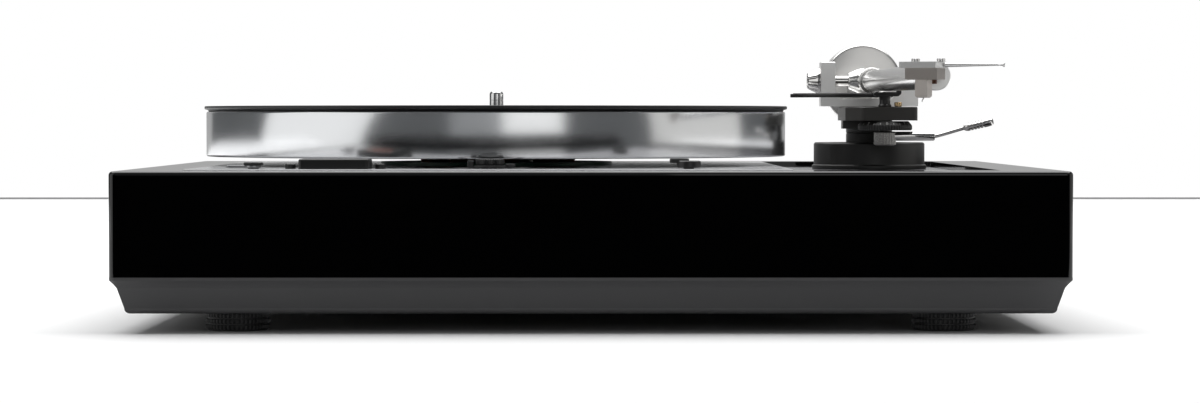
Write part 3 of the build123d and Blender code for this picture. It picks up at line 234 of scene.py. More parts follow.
@dataclass(frozen=True)
class Finish:
    """One surface finish and how it is worked out.

    Attributes:
        name: The finish in a maker's words.
        slot: The record's material slot.
        colour: Linear red, green and blue.
        metallic: 1 for bare metal.
        roughness: Mean roughness.
        spread: How far the roughness wanders.
        grain: What left the surface as it is.
        size: The grain's size in metres.
        depth: The grain's height in metres.
        mottle: Share by which the colour wanders.
        wear: How far edges are rubbed brighter.
        coat: Weight of a clear coat.
        ior: Index of refraction.
        transmission: Share of light passing through.
        glow: Emission strength.
        lathe: The turning line of a turned or brushed finish.
    """

    name: str
    slot: str
    colour: Point
    metallic: float = 0.0
    roughness: float = 0.4
    spread: float = 0.06
    grain: Grain = Grain.MOULDED
    size: float = 0.4 * MM
    depth: float = 0.01 * MM
    mottle: float = 0.06
    wear: float = 0.0
    coat: float = 0.0
    ior: float = 1.5
    transmission: float = 0.0
    glow: float = 0.0
    lathe: Lathe | None = None

    def height(self, recipe: Recipe, place: bpy.types.NodeSocket) -> Number:
        """The grain's height between 0 and 1 at each point.

        Turned grain is noise over the distance from the turning line and along it, brushed
        grain is noise squeezed along the brushing, and the rest is noise in the round.

        Args:
            recipe: The material being made.
            place: Where each point is.

        Returns:
            The height.
        """
        if self.grain is Grain.TURNED and self.lathe:
            arm = recipe.vector("SUBTRACT", "Vector", place, self.lathe.centre)
            along = Number(recipe, recipe.vector("DOT_PRODUCT", "Value", arm, self.lathe.way))
            flat = recipe.vector("CROSS_PRODUCT", "Vector", arm, self.lathe.way)
            out = Number(recipe, recipe.vector("LENGTH", "Value", flat))
            node = recipe.node("ShaderNodeCombineXYZ", None, {0: out, 1: along})
            squeezed = recipe.scaled(place, 0.02)
            spun = recipe.vector("ADD", "Vector", node.outputs[0], squeezed)
            return recipe.noise(spun, 1.0 / self.size, 3.0, 0.65)
        if self.grain is Grain.BRUSHED and self.lathe:
            along = Number(recipe, recipe.vector("DOT_PRODUCT", "Value", place, self.lathe.way))
            drift = recipe.node("ShaderNodeVectorMath", {"operation": "SCALE"}, {0: self.lathe.way})
            recipe.feed(drift.inputs["Scale"], along * 0.985)
            across = recipe.vector("SUBTRACT", "Vector", place, drift.outputs[0])
            return recipe.noise(across, 1.0 / self.size, 3.0, 0.6)
        if self.grain is Grain.CAST:
            fine = recipe.noise(place, 1.0 / self.size, 4.0, 0.7)
            broad = recipe.noise(place, 0.25 / self.size, 2.0)
            return fine * 0.7 + broad * 0.3
        if self.grain is Grain.LACQUERED:
            return recipe.noise(place, 1.0 / self.size, 1.0, 0.3)
        if self.grain is Grain.SPRAYED:
            peel = recipe.noise(place, 1.0 / self.size, 2.0, 0.4)
            dust = recipe.noise(place, 5.0 / self.size, 1.0, 0.4)
            return peel * 0.8 + dust * 0.2
        return recipe.noise(place, 1.0 / self.size, 3.0, 0.55)

    def material(self) -> bpy.types.Material:
        """Makes the material, or finds the one already made.

        Returns:
            The material.
        """
        known = bpy.data.materials.get(self.name)
        if known:
            return known
        recipe = Recipe(self.name)
        place = recipe.place()
        height = self.height(recipe, place)
        cloud = recipe.noise(place, 18.0, 3.0, 0.6)
        smear = recipe.noise(place, 70.0, 4.0, 0.6)
        colour = (*self.colour, 1.0)
        dark = (*(c * (1.0 - self.mottle) for c in self.colour), 1.0)
        light = (*(min(1.0, c * (1.0 + self.mottle)) for c in self.colour), 1.0)
        tone = (cloud * 0.5 + height * 0.5).clamped()
        base = recipe.blend(tone, dark, light)
        rough = (smear - 0.5) * (2.0 * self.spread) + self.roughness
        rough = rough + (height - 0.5) * self.spread
        if self.wear:
            sharp = Number(recipe, recipe.node("ShaderNodeNewGeometry").outputs["Pointiness"])
            patchy = recipe.noise(place, 260.0, 3.0)
            rubbed = (((sharp - 0.53) * 9.0).clamped() * (patchy * 1.6).clamped()) * self.wear
            bright = (*(c * 0.5 + 0.3 for c in self.colour), 1.0)
            base = recipe.blend(rubbed.clamped(), base, bright)
            rough = rough - rubbed * 0.1
        recipe.feed(recipe.shader.inputs["Base Color"], base if self.mottle or self.wear else colour)
        recipe.feed(recipe.shader.inputs["Roughness"], rough.clamped())
        recipe.shader.inputs["Metallic"].default_value = self.metallic
        recipe.shader.inputs["IOR"].default_value = self.ior
        recipe.shader.inputs["Coat Weight"].default_value = self.coat
        recipe.shader.inputs["Coat Roughness"].default_value = 0.02
        recipe.shader.inputs["Transmission Weight"].default_value = self.transmission
        if self.glow:
            recipe.shader.inputs["Emission Color"].default_value = colour
            recipe.shader.inputs["Emission Strength"].default_value = self.glow
        if self.depth:
            bump = recipe.node("ShaderNodeBump", None, {"Distance": self.depth, "Height": height})
            bump.inputs["Strength"].default_value = 1.0
            recipe.feed(recipe.shader.inputs["Normal"], bump.outputs["Normal"])
        return recipe.material


# ---------------------------------------------------------------- shapes


@dataclass(frozen=True)
class Seat:
    """Where a shape is laid out: an origin and three directions."""

    origin: Point = (0.0, 0.0, 0.0)
    axis: Point = (0.0, 0.0, 1.0)
    side: Point = (1.0, 0.0, 0.0)

    def world(self, across: np.ndarray, third: np.ndarray, along: np.ndarray) -> np.ndarray:
        """Turns seat coordinates into places.

        Args:
            across: Distance along the side.
            third: Distance along axis cross side.
            along: Distance along the axis.

        Returns:
            The places, with a last dimension of three.
        """
        axis = np.array(self.axis, float)
        axis /= np.linalg.norm(axis)
        side = np.array(self.side, float)
        side -= axis * side.dot(axis)
        side /= np.linalg.norm(side)
        other = np.cross(axis, side)
        parts = [np.asarray(v, float)[..., None] for v in (across, third, along)]
        return np.array(self.origin, float) + parts[0] * side + parts[1] * other + parts[2] * axis


@dataclass
class Shell:
    """Points and faces of closed surfaces, which add up with +."""

    points: np.ndarray
    faces: list[list[int]]

    def __add__(self, other: "Shell") -> "Shell":
        """Both shells in one."""
        shift = len(self.points)
        moved = [[corner + shift for corner in face] for face in other.faces]
        return Shell(np.vstack([self.points, other.points]), self.faces + moved)

    def outward(self) -> "Shell":
        """Turns the faces outwards, judged by the sign of the enclosed volume."""
        total = 0.0
        for size in {len(face) for face in self.faces}:
            corners = np.array([face for face in self.faces if len(face) == size])
            first = self.points[corners[:, 0]]
            for step in range(1, size - 1):
                second, third = self.points[corners[:, step]], self.points[corners[:, step + 1]]
                total += np.einsum("ij,ij->", first, np.cross(second, third))
        if total < 0:
            self.faces = [face[::-1] for face in self.faces]
        return self


def rounded(points: Sequence[tuple[float, float]], radius: float | Sequence[float], steps: int = 4,
            closed: bool = False) -> np.ndarray:
    """Rounds the corners of a line.

    Each corner becomes an arc: the points at the angle's bisector, from one tangent point to
    the other, on a quadratic curve whose control point is the corner.

    Args:
        points: The corners.
        radius: How far from each corner the rounding starts, one value or one each.
        steps: Spans in each arc.
        closed: Whether the last corner joins the first.

    Returns:
        The rounded line's points, two columns.
    """
    line = np.array(points, float)
    reach = np.full(len(line), radius, float) if np.isscalar(radius) else np.array(radius, float)
    before, after = np.roll(line, 1, axis=0), np.roll(line, -1, axis=0)
    gap_before = np.linalg.norm(line - before, axis=1)
    gap_after = np.linalg.norm(line - after, axis=1)
    reach = np.minimum(reach, 0.49 * np.minimum(gap_before, gap_after))
    if not closed:
        reach[0] = reach[-1] = 0.0
    start = line + (before - line) * (reach / np.maximum(gap_before, 1e-12))[:, None]
    end = line + (after - line) * (reach / np.maximum(gap_after, 1e-12))[:, None]
    pieces = []
    for corner in range(len(line)):
        if reach[corner] <= 0:
            pieces.append(line[corner][None])
            continue
        t = np.linspace(0.0, 1.0, steps + 1)[:, None]
        curve = (1 - t) ** 2 * start[corner] + 2 * t * (1 - t) * line[corner] + t**2 * end[corner]
        pieces.append(curve)
    return np.vstack(pieces)


def woven(rows: int, columns: int, wrap_rows: bool, wrap_columns: bool = True) -> np.ndarray:
    """Quads between the points of a grid.

    Args:
        rows: Rows of points.
        columns: Points in a row.
        wrap_rows: Whether the last row joins the first.
        wrap_columns: Whether each row closes on itself.

    Returns:
        Corner numbers, four to a face.
    """
    row = np.arange(rows if wrap_rows else rows - 1)[:, None]
    column = np.arange(columns if wrap_columns else columns - 1)[None, :]
    next_row, next_column = (row + 1) % rows, (column + 1) % columns
    quads = [row * columns + column, row * columns + next_column,
             next_row * columns + next_column, next_row * columns + column]
    return np.stack(quads, axis=-1).reshape(-1, 4)


def lofted(grid: np.ndarray, ring: bool = False) -> Shell:
    """A closed surface through the rows of a grid, each row a loop.

    Args:
        grid: Points, rows by columns by three.
        ring: Whether the rows close into a ring; if not, the ends get caps.

    Returns:
        The shell.
    """
    rows, columns = grid.shape[:2]
    faces = woven(rows, columns, ring).tolist()
    if not ring:
        faces.append(list(range(columns))[::-1])
        faces.append(list(range((rows - 1) * columns, rows * columns)))
    return Shell(grid.reshape(-1, 3), faces).outward()


Ripple = Callable[[np.ndarray, np.ndarray], np.ndarray]


def turned(profile: np.ndarray, seat: Seat, spans: int = 64, ring: bool = False,
           ripple: Ripple | None = None) -> Shell:
    """A profile spun round its seat's axis: radius times cosine and sine, height along the axis.

    Args:
        profile: Radius and height of each row.
        seat: The axis.
        spans: Steps round.
        ring: Whether the profile closes, as round a bore.
        ripple: Radius factor as a function of the angle and the row's height.

    Returns:
        The shell.
    """
    angle = np.linspace(0.0, TURN, spans, endpoint=False)[None, :]
    radius, height = profile[:, :1], profile[:, 1:]
    factor = ripple(angle, height) if ripple else np.ones((len(profile), spans))
    out = radius * factor
    return lofted(seat.world(out * np.cos(angle), out * np.sin(angle), height + 0 * angle), ring)


def pressed(outline: np.ndarray, low: float, high: float, edge: float, seat: Seat, steps: int = 3) -> Shell:
    """A flat outline given thickness, with rounded rims.

    Each row is the outline moved inwards along its corners' normals: by the edge radius times
    one minus the sine of the rim's angle, while the height follows its cosine.

    Args:
        outline: The outline's points, two columns.
        low: Height of one face.
        high: Height of the other.
        edge: Rim radius.
        seat: Its place; the outline lies across the axis.
        steps: Spans in each rim.

    Returns:
        The shell.
    """
    ahead = np.roll(outline, -1, axis=0) - outline
    behind = outline - np.roll(outline, 1, axis=0)
    ahead /= np.maximum(np.linalg.norm(ahead, axis=1), 1e-12)[:, None]
    behind /= np.maximum(np.linalg.norm(behind, axis=1), 1e-12)[:, None]
    inward = np.stack([-(ahead + behind)[:, 1], (ahead + behind)[:, 0]], axis=1)
    inward /= np.maximum(np.linalg.norm(inward, axis=1), 1e-12)[:, None]
    inward /= np.maximum(np.abs(np.einsum("ij,ij->i", inward, np.stack([-ahead[:, 1], ahead[:, 0]], 1))),
                         0.5)[:, None]
    x, y = outline[:, 0], outline[:, 1]
    if np.sum(x * np.roll(y, -1) - y * np.roll(x, -1)) < 0:
        inward = -inward
    rim = np.linspace(0.0, math.pi / 2, steps + 1)
    shift = np.concatenate([edge * (1 - np.sin(rim)), edge * (1 - np.sin(rim))[::-1]])
    height = np.concatenate([low + edge * (1 - np.cos(rim)), high - edge * (1 - np.cos(rim))[::-1]])
    flat = outline[None] + shift[:, None, None] * inward[None]
    return lofted(seat.world(flat[..., 0], flat[..., 1], height[:, None] + 0 * flat[..., 0]))


def swept(path: np.ndarray, radius: np.ndarray | float, spans: int = 16, up: Point = (0.0, 0.0, 1.0),
          flatness: float = 1.0) -> Shell:
    """A round or oval section carried along a path, square to it.

    Args:
        path: The path's points.
        radius: Half the section's width, one value or one a point.
        spans: Steps round the section.
        up: Roughly upwards, square to which the section's width lies.
        flatness: Height of the section as a share of its width.

    Returns:
        The shell.
    """
    path = np.asarray(path, float)
    tangent = np.gradient(path, axis=0)
    tangent /= np.linalg.norm(tangent, axis=1)[:, None]
    side = np.cross(tangent, np.array(up, float))
    side /= np.linalg.norm(side, axis=1)[:, None]
    rise = np.cross(side, tangent)
    width = np.full(len(path), radius) if np.isscalar(radius) else np.asarray(radius, float)
    angle = np.linspace(0.0, TURN, spans, endpoint=False)[None, :, None]
    around = np.cos(angle) * side[:, None] + flatness * np.sin(angle) * rise[:, None]
    grid = path[:, None] + width[:, None, None] * around
    return lofted(grid)


def circle_outline(radius: float, spans: int = 48, centre: tuple[float, float] = (0.0, 0.0)) -> np.ndarray:
    """Points round a circle."""
    angle = np.linspace(0.0, TURN, spans, endpoint=False)
    return np.stack([centre[0] + radius * np.cos(angle), centre[1] + radius * np.sin(angle)], axis=1)


def box_outline(left: float, right: float, low: float, high: float, corner: float) -> np.ndarray:
    """A rounded rectangle's outline."""
    corners = [(left, low), (right, low), (right, high), (left, high)]
    return rounded(corners, corner, 4, closed=True)


@dataclass(frozen=True)
class Extent:
    """The box of a CAD node, in metres."""

    low: Vector
    high: Vector

    @classmethod
    def of(cls, node: str) -> "Extent":
        """The box that a node fills at rest."""
        low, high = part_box(node)
        return cls(Vector(low), Vector(high))

    @property
    def centre(self) -> Vector:
        """The middle of the box."""
        return (self.low + self.high) / 2

    @property
    def size(self) -> Vector:
        """The box's sides."""
        return self.high - self.low


SHARP = math.radians(34.0)


def body_of(node: str) -> str:
    """The body that a CAD node belongs to."""
    bodies = frame["record"]["behaviour"]["bodies"]
    return next(body for body, nodes in bodies.items() if node in nodes)


def finish_piece(piece: bpy.types.Object, finish: Finish, *nodes: str) -> bpy.types.Object:
    """Gives a piece its material and its body, and lets it stand for its CAD nodes.

    Args:
        piece: The object.
        finish: Its finish.
        nodes: The CAD nodes it replaces, the first of which says its body.

    Returns:
        The piece.
    """
    piece.data.materials.clear()
    piece.data.materials.append(finish.material())
    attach(piece, body_of(nodes[0]))
    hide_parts(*nodes)
    log.info("%s stands for %s, finish %s", piece.name, ", ".join(nodes), finish.name)
    return piece


def piece_from(name: str, shell: Shell, finish: Finish, *nodes: str,
               sharp: float = SHARP) -> bpy.types.Object:
    """Makes an object from a shell.

    Args:
        name: The object's name.
        shell: Its surface.
        finish: Its finish.
        nodes: The CAD nodes it stands for.
        sharp: The angle over which an edge stays sharp.

    Returns:
        The piece.
    """
    mesh = bpy.data.meshes.new(name)
    mesh.from_pydata(shell.points.tolist(), [], shell.faces)
    mesh.validate()
    mesh.polygons.foreach_set("use_smooth", np.ones(len(mesh.polygons), bool))
    mesh.set_sharp_from_angle(angle=sharp)
    piece = bpy.data.objects.new(name, mesh)
    bpy.context.scene.collection.objects.link(piece)
    return finish_piece(piece, finish, *nodes)


def eased_copy(node: str, finish: Finish, edge: float = 0.3 * MM, name: str = "") -> bpy.types.Object:
    """A CAD node copied, merged and given eased edges.

    Args:
        node: The CAD node.
        finish: Its finish.
        edge: Width of the eased edges.
        name: The copy's name.

    Returns:
        The piece.
    """
    source = frame["nodes"][node]
    mesh = source.data.copy()
    sheet = bmesh.new()
    sheet.from_mesh(mesh)
    bmesh.ops.remove_doubles(sheet, verts=sheet.verts, dist=1e-6)
    bmesh.ops.dissolve_limit(sheet, angle_limit=math.radians(0.4), verts=sheet.verts, edges=sheet.edges)
    sheet.to_mesh(mesh)
    sheet.free()
    mesh.polygons.foreach_set("use_smooth", np.ones(len(mesh.polygons), bool))
    mesh.set_sharp_from_angle(angle=SHARP)
    piece = bpy.data.objects.new(name or f"{node}_eased", mesh)
    bpy.context.scene.collection.objects.link(piece)
    if edge:
        bevel = piece.modifiers.new("eased edges", "BEVEL")
        bevel.width = edge
        bevel.segments = 2
        bevel.limit_method = "ANGLE"
        bevel.angle_limit = math.radians(40.0)
        bevel.harden_normals = True
    weigh = piece.modifiers.new("flat faces lead", "WEIGHTED_NORMAL")
    weigh.keep_sharp = True
    weigh.weight = 100
    return finish_piece(piece, finish, node)


def dress(node: str, finish: Finish) -> None:
    """Gives a CAD node its material as it stands.

    Args:
        node: The CAD node.
        finish: Its finish.
    """
    mesh = frame["nodes"][node].data
    mesh.materials.clear()
    mesh.materials.append(finish.material())
    log.info("%s keeps its own shape, finish %s", node, finish.name)


# ---------------------------------------------------------------- finishes

PLATTER = Extent.of("platter")
HUB = Extent.of("wand_hub")
PLATTER_LINE = Lathe((PLATTER.centre.x, PLATTER.centre.y, PLATTER.centre.z))
ARM_LINE = Lathe(tuple(Extent.of("arm_column").centre))
DIAL_LINE = Lathe(tuple(Extent.of("antiskate_dial").centre))
WEIGHT_LINE = Lathe(tuple(Extent.of("counterweight").centre), (0.0, 1.0, 0.0))
WAND_WAY = (math.sin(math.radians(3.87)), -math.cos(math.radians(3.87)), 0.0)
WAND_LINE = Lathe((PLATTER.high.x + 50.2 * MM, HUB.low.y, 119.7 * MM), WAND_WAY)
CROSSWISE = Lathe((0.0, 0.0, 0.0), (1.0, 0.0, 0.0))

LACQUER = Finish("black_lacquer", "gloss_lacquer", (0.0007, 0.0007, 0.0008), roughness=0.035, spread=0.015,
                 grain=Grain.LACQUERED, size=9.0 * MM, depth=0.006 * MM, mottle=0.0, wear=0.02)
SKIRT = Finish("skirt_plastic_grey", "skirt_plastic", (0.040, 0.040, 0.042), roughness=0.46, spread=0.08,
               size=0.35 * MM, depth=0.012 * MM, mottle=0.14, wear=0.12)
FOOT = Finish("foot_black", "foot_metal", (0.012, 0.012, 0.0125), roughness=0.42, spread=0.1,
              size=0.5 * MM, depth=0.02 * MM, mottle=0.15, wear=0.25)
ZINC = Finish("zinc_plated_steel", "zinc_steel", (0.56, 0.56, 0.54), 1.0, 0.34, 0.1, Grain.CAST,
              0.6 * MM, 0.008 * MM, 0.1, 0.2)
ISOLATOR = Finish("isolator_rubber_black", "isolator_rubber", (0.016, 0.016, 0.017), roughness=0.72,
                  size=0.4 * MM, depth=0.03 * MM, mottle=0.2)
PLATE = Finish("chassis_silver_paint", "chassis_paint", (0.46, 0.46, 0.47), 0.0, 0.18, 0.04,
               Grain.SPRAYED, 0.5 * MM, 0.01 * MM, 0.05, 0.1)
ARMBOARD = Finish("armboard_grey_paint", "armboard_paint", (0.20, 0.20, 0.208), 0.0, 0.2, 0.04,
                  Grain.SPRAYED, 0.5 * MM, 0.01 * MM, 0.06, 0.15)
FRAME = Finish("frame_cast_alloy", "frame_metal", (0.42, 0.42, 0.43), 1.0, 0.5, 0.1, Grain.CAST,
               1.2 * MM, 0.06 * MM, 0.12, 0.1)
RIM = Finish("platter_turned_alloy", "platter_metal", (0.80, 0.81, 0.825), 1.0, 0.17, 0.03, Grain.TURNED,
             0.12 * MM, 0.0012 * MM, 0.03, 0.0, lathe=PLATTER_LINE)
MAT = Finish("mat_rubber_black", "mat_rubber", (0.010, 0.010, 0.011), roughness=0.40, spread=0.08,
             size=0.45 * MM, depth=0.015 * MM, mottle=0.2)
SPINDLE = Finish("spindle_polished_steel", "polished_steel", (0.70, 0.70, 0.70), 1.0, 0.12, 0.04,
                 Grain.TURNED,
                 0.15 * MM, 0.002 * MM, 0.04, lathe=PLATTER_LINE)
BRONZE = Finish("bearing_bronze", "bronze", (0.55, 0.36, 0.16), 1.0, 0.32, 0.08, Grain.TURNED,
                0.2 * MM, 0.006 * MM, 0.1, lathe=PLATTER_LINE)
COPPER = Finish("coil_copper", "copper", (0.72, 0.34, 0.18), 1.0, 0.3, 0.1, Grain.CAST,
                0.4 * MM, 0.03 * MM, 0.15)
MAGNET = Finish("rotor_magnet_grey", "magnet", (0.09, 0.09, 0.095), 0.6, 0.5, 0.08, Grain.CAST,
                0.7 * MM, 0.03 * MM, 0.12)
KNOB = Finish("control_satin_black", "control_black", (0.010, 0.010, 0.0105), roughness=0.34, spread=0.08,
              size=0.3 * MM, depth=0.01 * MM, mottle=0.12, wear=0.12)
LEVER = Finish("control_brushed_alloy", "control_metal", (0.30, 0.30, 0.31), 1.0, 0.3, 0.08, Grain.BRUSHED,
               0.1 * MM, 0.003 * MM, 0.06, 0.1, lathe=CROSSWISE)
SCALE = Finish("scale_ink_grey", "scale_print", (0.10, 0.10, 0.105), roughness=0.5, size=0.2 * MM,
               depth=0.005 * MM, mottle=0.15)
INK = Finish("scale_ink_white", "scale_print", (0.72, 0.72, 0.70), roughness=0.5, size=0.2 * MM,
             depth=0.004 * MM, mottle=0.08)
WINDOW = Finish("strobe_window_clear", "clear_window", (0.86, 0.5, 0.42), roughness=0.06, spread=0.03,
                grain=Grain.LACQUERED, size=3.0 * MM, depth=0.01 * MM, mottle=0.05, transmission=0.85)
LAMP = Finish("strobe_lamp_red", "lamp", (0.75, 0.06, 0.02), roughness=0.3, size=0.5 * MM,
              depth=0.01 * MM, mottle=0.1, glow=0.35)
ARM_BLACK = Finish("arm_black_anodised", "arm_black", (0.0105, 0.0098, 0.0088), roughness=0.42, spread=0.07,
                   grain=Grain.TURNED, size=0.14 * MM, depth=0.006 * MM, mottle=0.2, wear=0.12,
                   lathe=ARM_LINE)
BLOCK_BLACK = Finish("arm_block_black", "arm_black", (0.028, 0.026, 0.023), roughness=0.44, spread=0.08,
                     grain=Grain.CAST, size=0.5 * MM, depth=0.02 * MM, mottle=0.18, wear=0.15)
REST_BLACK = Finish("arm_rest_black", "arm_black", (0.013, 0.012, 0.0115), roughness=0.3, spread=0.08,
                    size=0.4 * MM, depth=0.012 * MM, mottle=0.15, wear=0.1)
ARM_ALLOY = Finish("arm_satin_alloy", "arm_metal", (0.86, 0.855, 0.845), 1.0, 0.38, 0.07, Grain.BRUSHED,
                   0.11 * MM, 0.0025 * MM, 0.05, 0.06, lathe=CROSSWISE)
TUBE_ALLOY = Finish("arm_tube_alloy", "arm_metal", (0.78, 0.775, 0.765), 1.0, 0.2, 0.05, Grain.TURNED,
                    0.16 * MM, 0.002 * MM, 0.05, 0.0, lathe=WAND_LINE)
TOWER = Finish("lift_tower_alloy", "arm_metal", (0.36, 0.35, 0.34), 1.0, 0.24, 0.06, Grain.TURNED,
               0.14 * MM, 0.003 * MM, 0.08, 0.1, lathe=DIAL_LINE)
WEIGHT = Finish("counterweight_turned", "arm_metal", (0.74, 0.73, 0.715), 1.0, 0.3, 0.05, Grain.TURNED,
                0.13 * MM, 0.003 * MM, 0.05, 0.05, lathe=WEIGHT_LINE)
DIAL = Finish("antiskate_dial_black", "dial_black", (0.016, 0.0155, 0.015), roughness=0.4, spread=0.08,
              grain=Grain.TURNED, size=0.14 * MM, depth=0.006 * MM, mottle=0.2, wear=0.15, lathe=DIAL_LINE)
CHROME = Finish("cue_chrome", "chrome", (0.72, 0.71, 0.70), 1.0, 0.09, 0.04, Grain.POLISHED,
                1.0 * MM, 0.002 * MM, 0.04)
BRASS = Finish("thumbscrew_brass", "brass", (0.62, 0.46, 0.26), 1.0, 0.26, 0.06, Grain.POLISHED,
               0.4 * MM, 0.004 * MM, 0.08)
CHAMPAGNE = Finish("cartridge_champagne_body", "cartridge_champagne", (0.46, 0.42, 0.39), 0.75, 0.34, 0.07,
                   Grain.CAST, 0.35 * MM, 0.01 * MM, 0.08, 0.1)
STYLUS = Finish("stylus_holder_ivory", "stylus_white", (0.62, 0.57, 0.53), roughness=0.4, spread=0.08,
                size=0.3 * MM, depth=0.008 * MM, mottle=0.06)
PIN_BOARD = Finish("pin_board_fibre", "pin_board_brown", (0.115, 0.045, 0.022), roughness=0.5, spread=0.08,
                   size=0.3 * MM, depth=0.015 * MM, mottle=0.25)
CIRCUIT = Finish("circuit_board_green", "circuit_board", (0.02, 0.12, 0.06), roughness=0.36, spread=0.08,
                 size=0.8 * MM, depth=0.012 * MM, mottle=0.25)
LEADS = {
    "red": Finish("lead_red", "control_black", (0.55, 0.02, 0.015), roughness=0.38, size=0.2 * MM,
                  depth=0.004 * MM),
    "green": Finish("lead_green", "control_black", (0.01, 0.26, 0.09), roughness=0.38, size=0.2 * MM,
                    depth=0.004 * MM),
    "white": Finish("lead_white", "stylus_white", (0.62, 0.6, 0.56), roughness=0.38, size=0.2 * MM,
                    depth=0.004 * MM),
    "blue": Finish("lead_blue", "control_black", (0.02, 0.06, 0.32), roughness=0.38, size=0.2 * MM,
                   depth=0.004 * MM),
}


# ---------------------------------------------------------------- parts shared by several pieces


def knurl(teeth: int, deep: float, low: float, high: float, hard: float = 3.0) -> Ripple:
    """Teeth round a rim: a flattened cosine of the angle, cut only between two heights."""

    def ripple(angle: np.ndarray, height: np.ndarray) -> np.ndarray:
        tooth = 0.5 + 0.5 * np.tanh(hard * np.cos(teeth * angle)) / math.tanh(hard)
        band = (height > low) & (height < high)
        return 1.0 - deep * (1.0 - tooth) * band

    return ripple


def slotted_head(radius: float, height: float, slot_width: float, seat: Seat, turn: float = 0.4) -> Shell:
    """A screw head: a disc with two half moons on it, whose gap is the slot."""
    disc = turned(rounded([(0, 0), (radius, 0), (radius, height * 0.55), (0, height * 0.55)], 0.1 * MM, 2),
                  seat, 40)
    reach = math.acos(slot_width / 2 / radius)
    arc = np.linspace(-reach, reach, 18)
    head = disc
    for side in (0.0, math.pi):
        outline = np.stack([radius * np.cos(arc + turn + side), radius * np.sin(arc + turn + side)], axis=1)
        head = head + pressed(outline, height * 0.45, height, min(0.25 * MM, height * 0.2), seat, 2)
    return head


def bent(points: Sequence[Point], steps: int = 8) -> np.ndarray:
    """A smooth path through points, each span a Catmull-Rom cubic of its four neighbours."""
    p = np.array(points, float)
    p = np.vstack([2 * p[0] - p[1], p, 2 * p[-1] - p[-2]])
    t = np.linspace(0.0, 1.0, steps, endpoint=False)[:, None]
    spans = []
    for a, b, c, d in zip(p[:-3], p[1:-2], p[2:-1], p[3:]):
        spans.append(0.5 * (2 * b + (c - a) * t + (2 * a - 5 * b + 4 * c - d) * t**2
                            + (3 * b - a - 3 * c + d) * t**3))
    return np.vstack([*spans, p[-2][None]])


DIGITS = {
    "0": [[(0, 0.2), (0, 0.8), (0.25, 1), (0.5, 0.8), (0.5, 0.2), (0.25, 0), (0, 0.2)]],
    "1": [[(0.1, 0.75), (0.28, 1), (0.28, 0)]],
    "2": [[(0, 0.78), (0.25, 1), (0.5, 0.75), (0, 0), (0.5, 0)]],
    "3": [[(0, 0.9), (0.3, 1), (0.5, 0.76), (0.2, 0.52), (0.5, 0.26), (0.28, 0), (0, 0.1)]],
}


def profile(*points: tuple[float, float]) -> np.ndarray:
    """Radius and height pairs, given in millimetres."""
    return np.array(points, float) * MM


def upright(x: float, y: float, z: float = 0.0) -> Seat:
    """A seat with its axis upwards."""
    return Seat((x, y, z))


# ---------------------------------------------------------------- the case


@dataclass
class Plinth:
    """The lacquered case on its skirt and four screw feet."""

    teeth: int = 46
    feet: tuple[str, ...] = ("foot_front_left", "foot_front_right", "foot_rear_left", "foot_rear_right")

    def build(self) -> None:
        """Makes the case, the skirt and the feet."""
        eased_copy("plinth_shell", LACQUER, 0.35 * MM, "lacquered_case")
        eased_copy("base_panel", SKIRT, 0.4 * MM, "skirt")
        for foot in self.feet:
            self.foot(foot)
        self.rail_fittings()

    def foot(self, node: str) -> None:
        """Makes a foot: three knurled bands on a knob with a stud.

        Args:
            node: The foot's CAD node.
        """
        extent = Extent.of(node)
        radius, top = extent.size.x / 2 / MM, extent.high.z / MM
        seat = upright(extent.centre.x, extent.centre.y, extent.low.z)
        groove = radius - 1.0
        rows = [(0.0, 0.35), (radius - 4.2, 0.35), (radius - 3.6, 0.0), (groove - 0.6, 0.0), (groove, 0.5)]
        for low in (0.9, 3.6, 6.3):
            rows += [(groove, low), (radius, low + 0.35), (radius, low + 1.75), (groove, low + 2.1)]
        rows += [(groove, 8.7), (groove - 0.7, 9.0), (6.0, 9.0), (5.2, 9.1), (4.0, 9.1)]
        outline = profile(*rows)
        line = [outline]
        thread = np.arange(9.3, top - 0.6, 0.5)
        ridge = np.where(np.arange(len(thread)) % 2 == 0, 4.0, 3.75)
        line.append(np.stack([ridge, thread], axis=1) * MM)
        line.append(profile((3.6, top), (0.0, top)))
        teeth = knurl(self.teeth, 0.055, 0.0011, 0.0086)

        def cut(angle: np.ndarray, height: np.ndarray) -> np.ndarray:
            return np.where(np.isin(np.round(height / MM, 2), BAND_EDGES), teeth(angle, height), 1.0)

        shell = turned(np.vstack(line), seat, self.teeth * 8, ripple=cut)
        piece_from(f"knurled_{node}", shell, FOOT, node)

    def rail_fittings(self) -> None:
        """Gives the parts inside the case their finishes."""
        for node in ("base_screws", "support_rails", "chassis_screws"):
            dress(node, ZINC)
        dress("chassis_isolators", ISOLATOR)
        dress("chassis_frame", FRAME)
        dress("control_board", CIRCUIT)
        dress("control_switches", KNOB)


BAND_EDGES = np.round([low + step for low in (0.9, 3.6, 6.3) for step in (0.35, 1.75)], 2)


@dataclass
class Chassis:
    """The painted top plate and the armboard."""

    edge: float = 0.3 * MM

    def build(self) -> None:
        """Makes both plates."""
        eased_copy("top_plate", PLATE, self.edge, "top_plate_painted")
        eased_copy("armboard", ARMBOARD, self.edge, "armboard_painted")


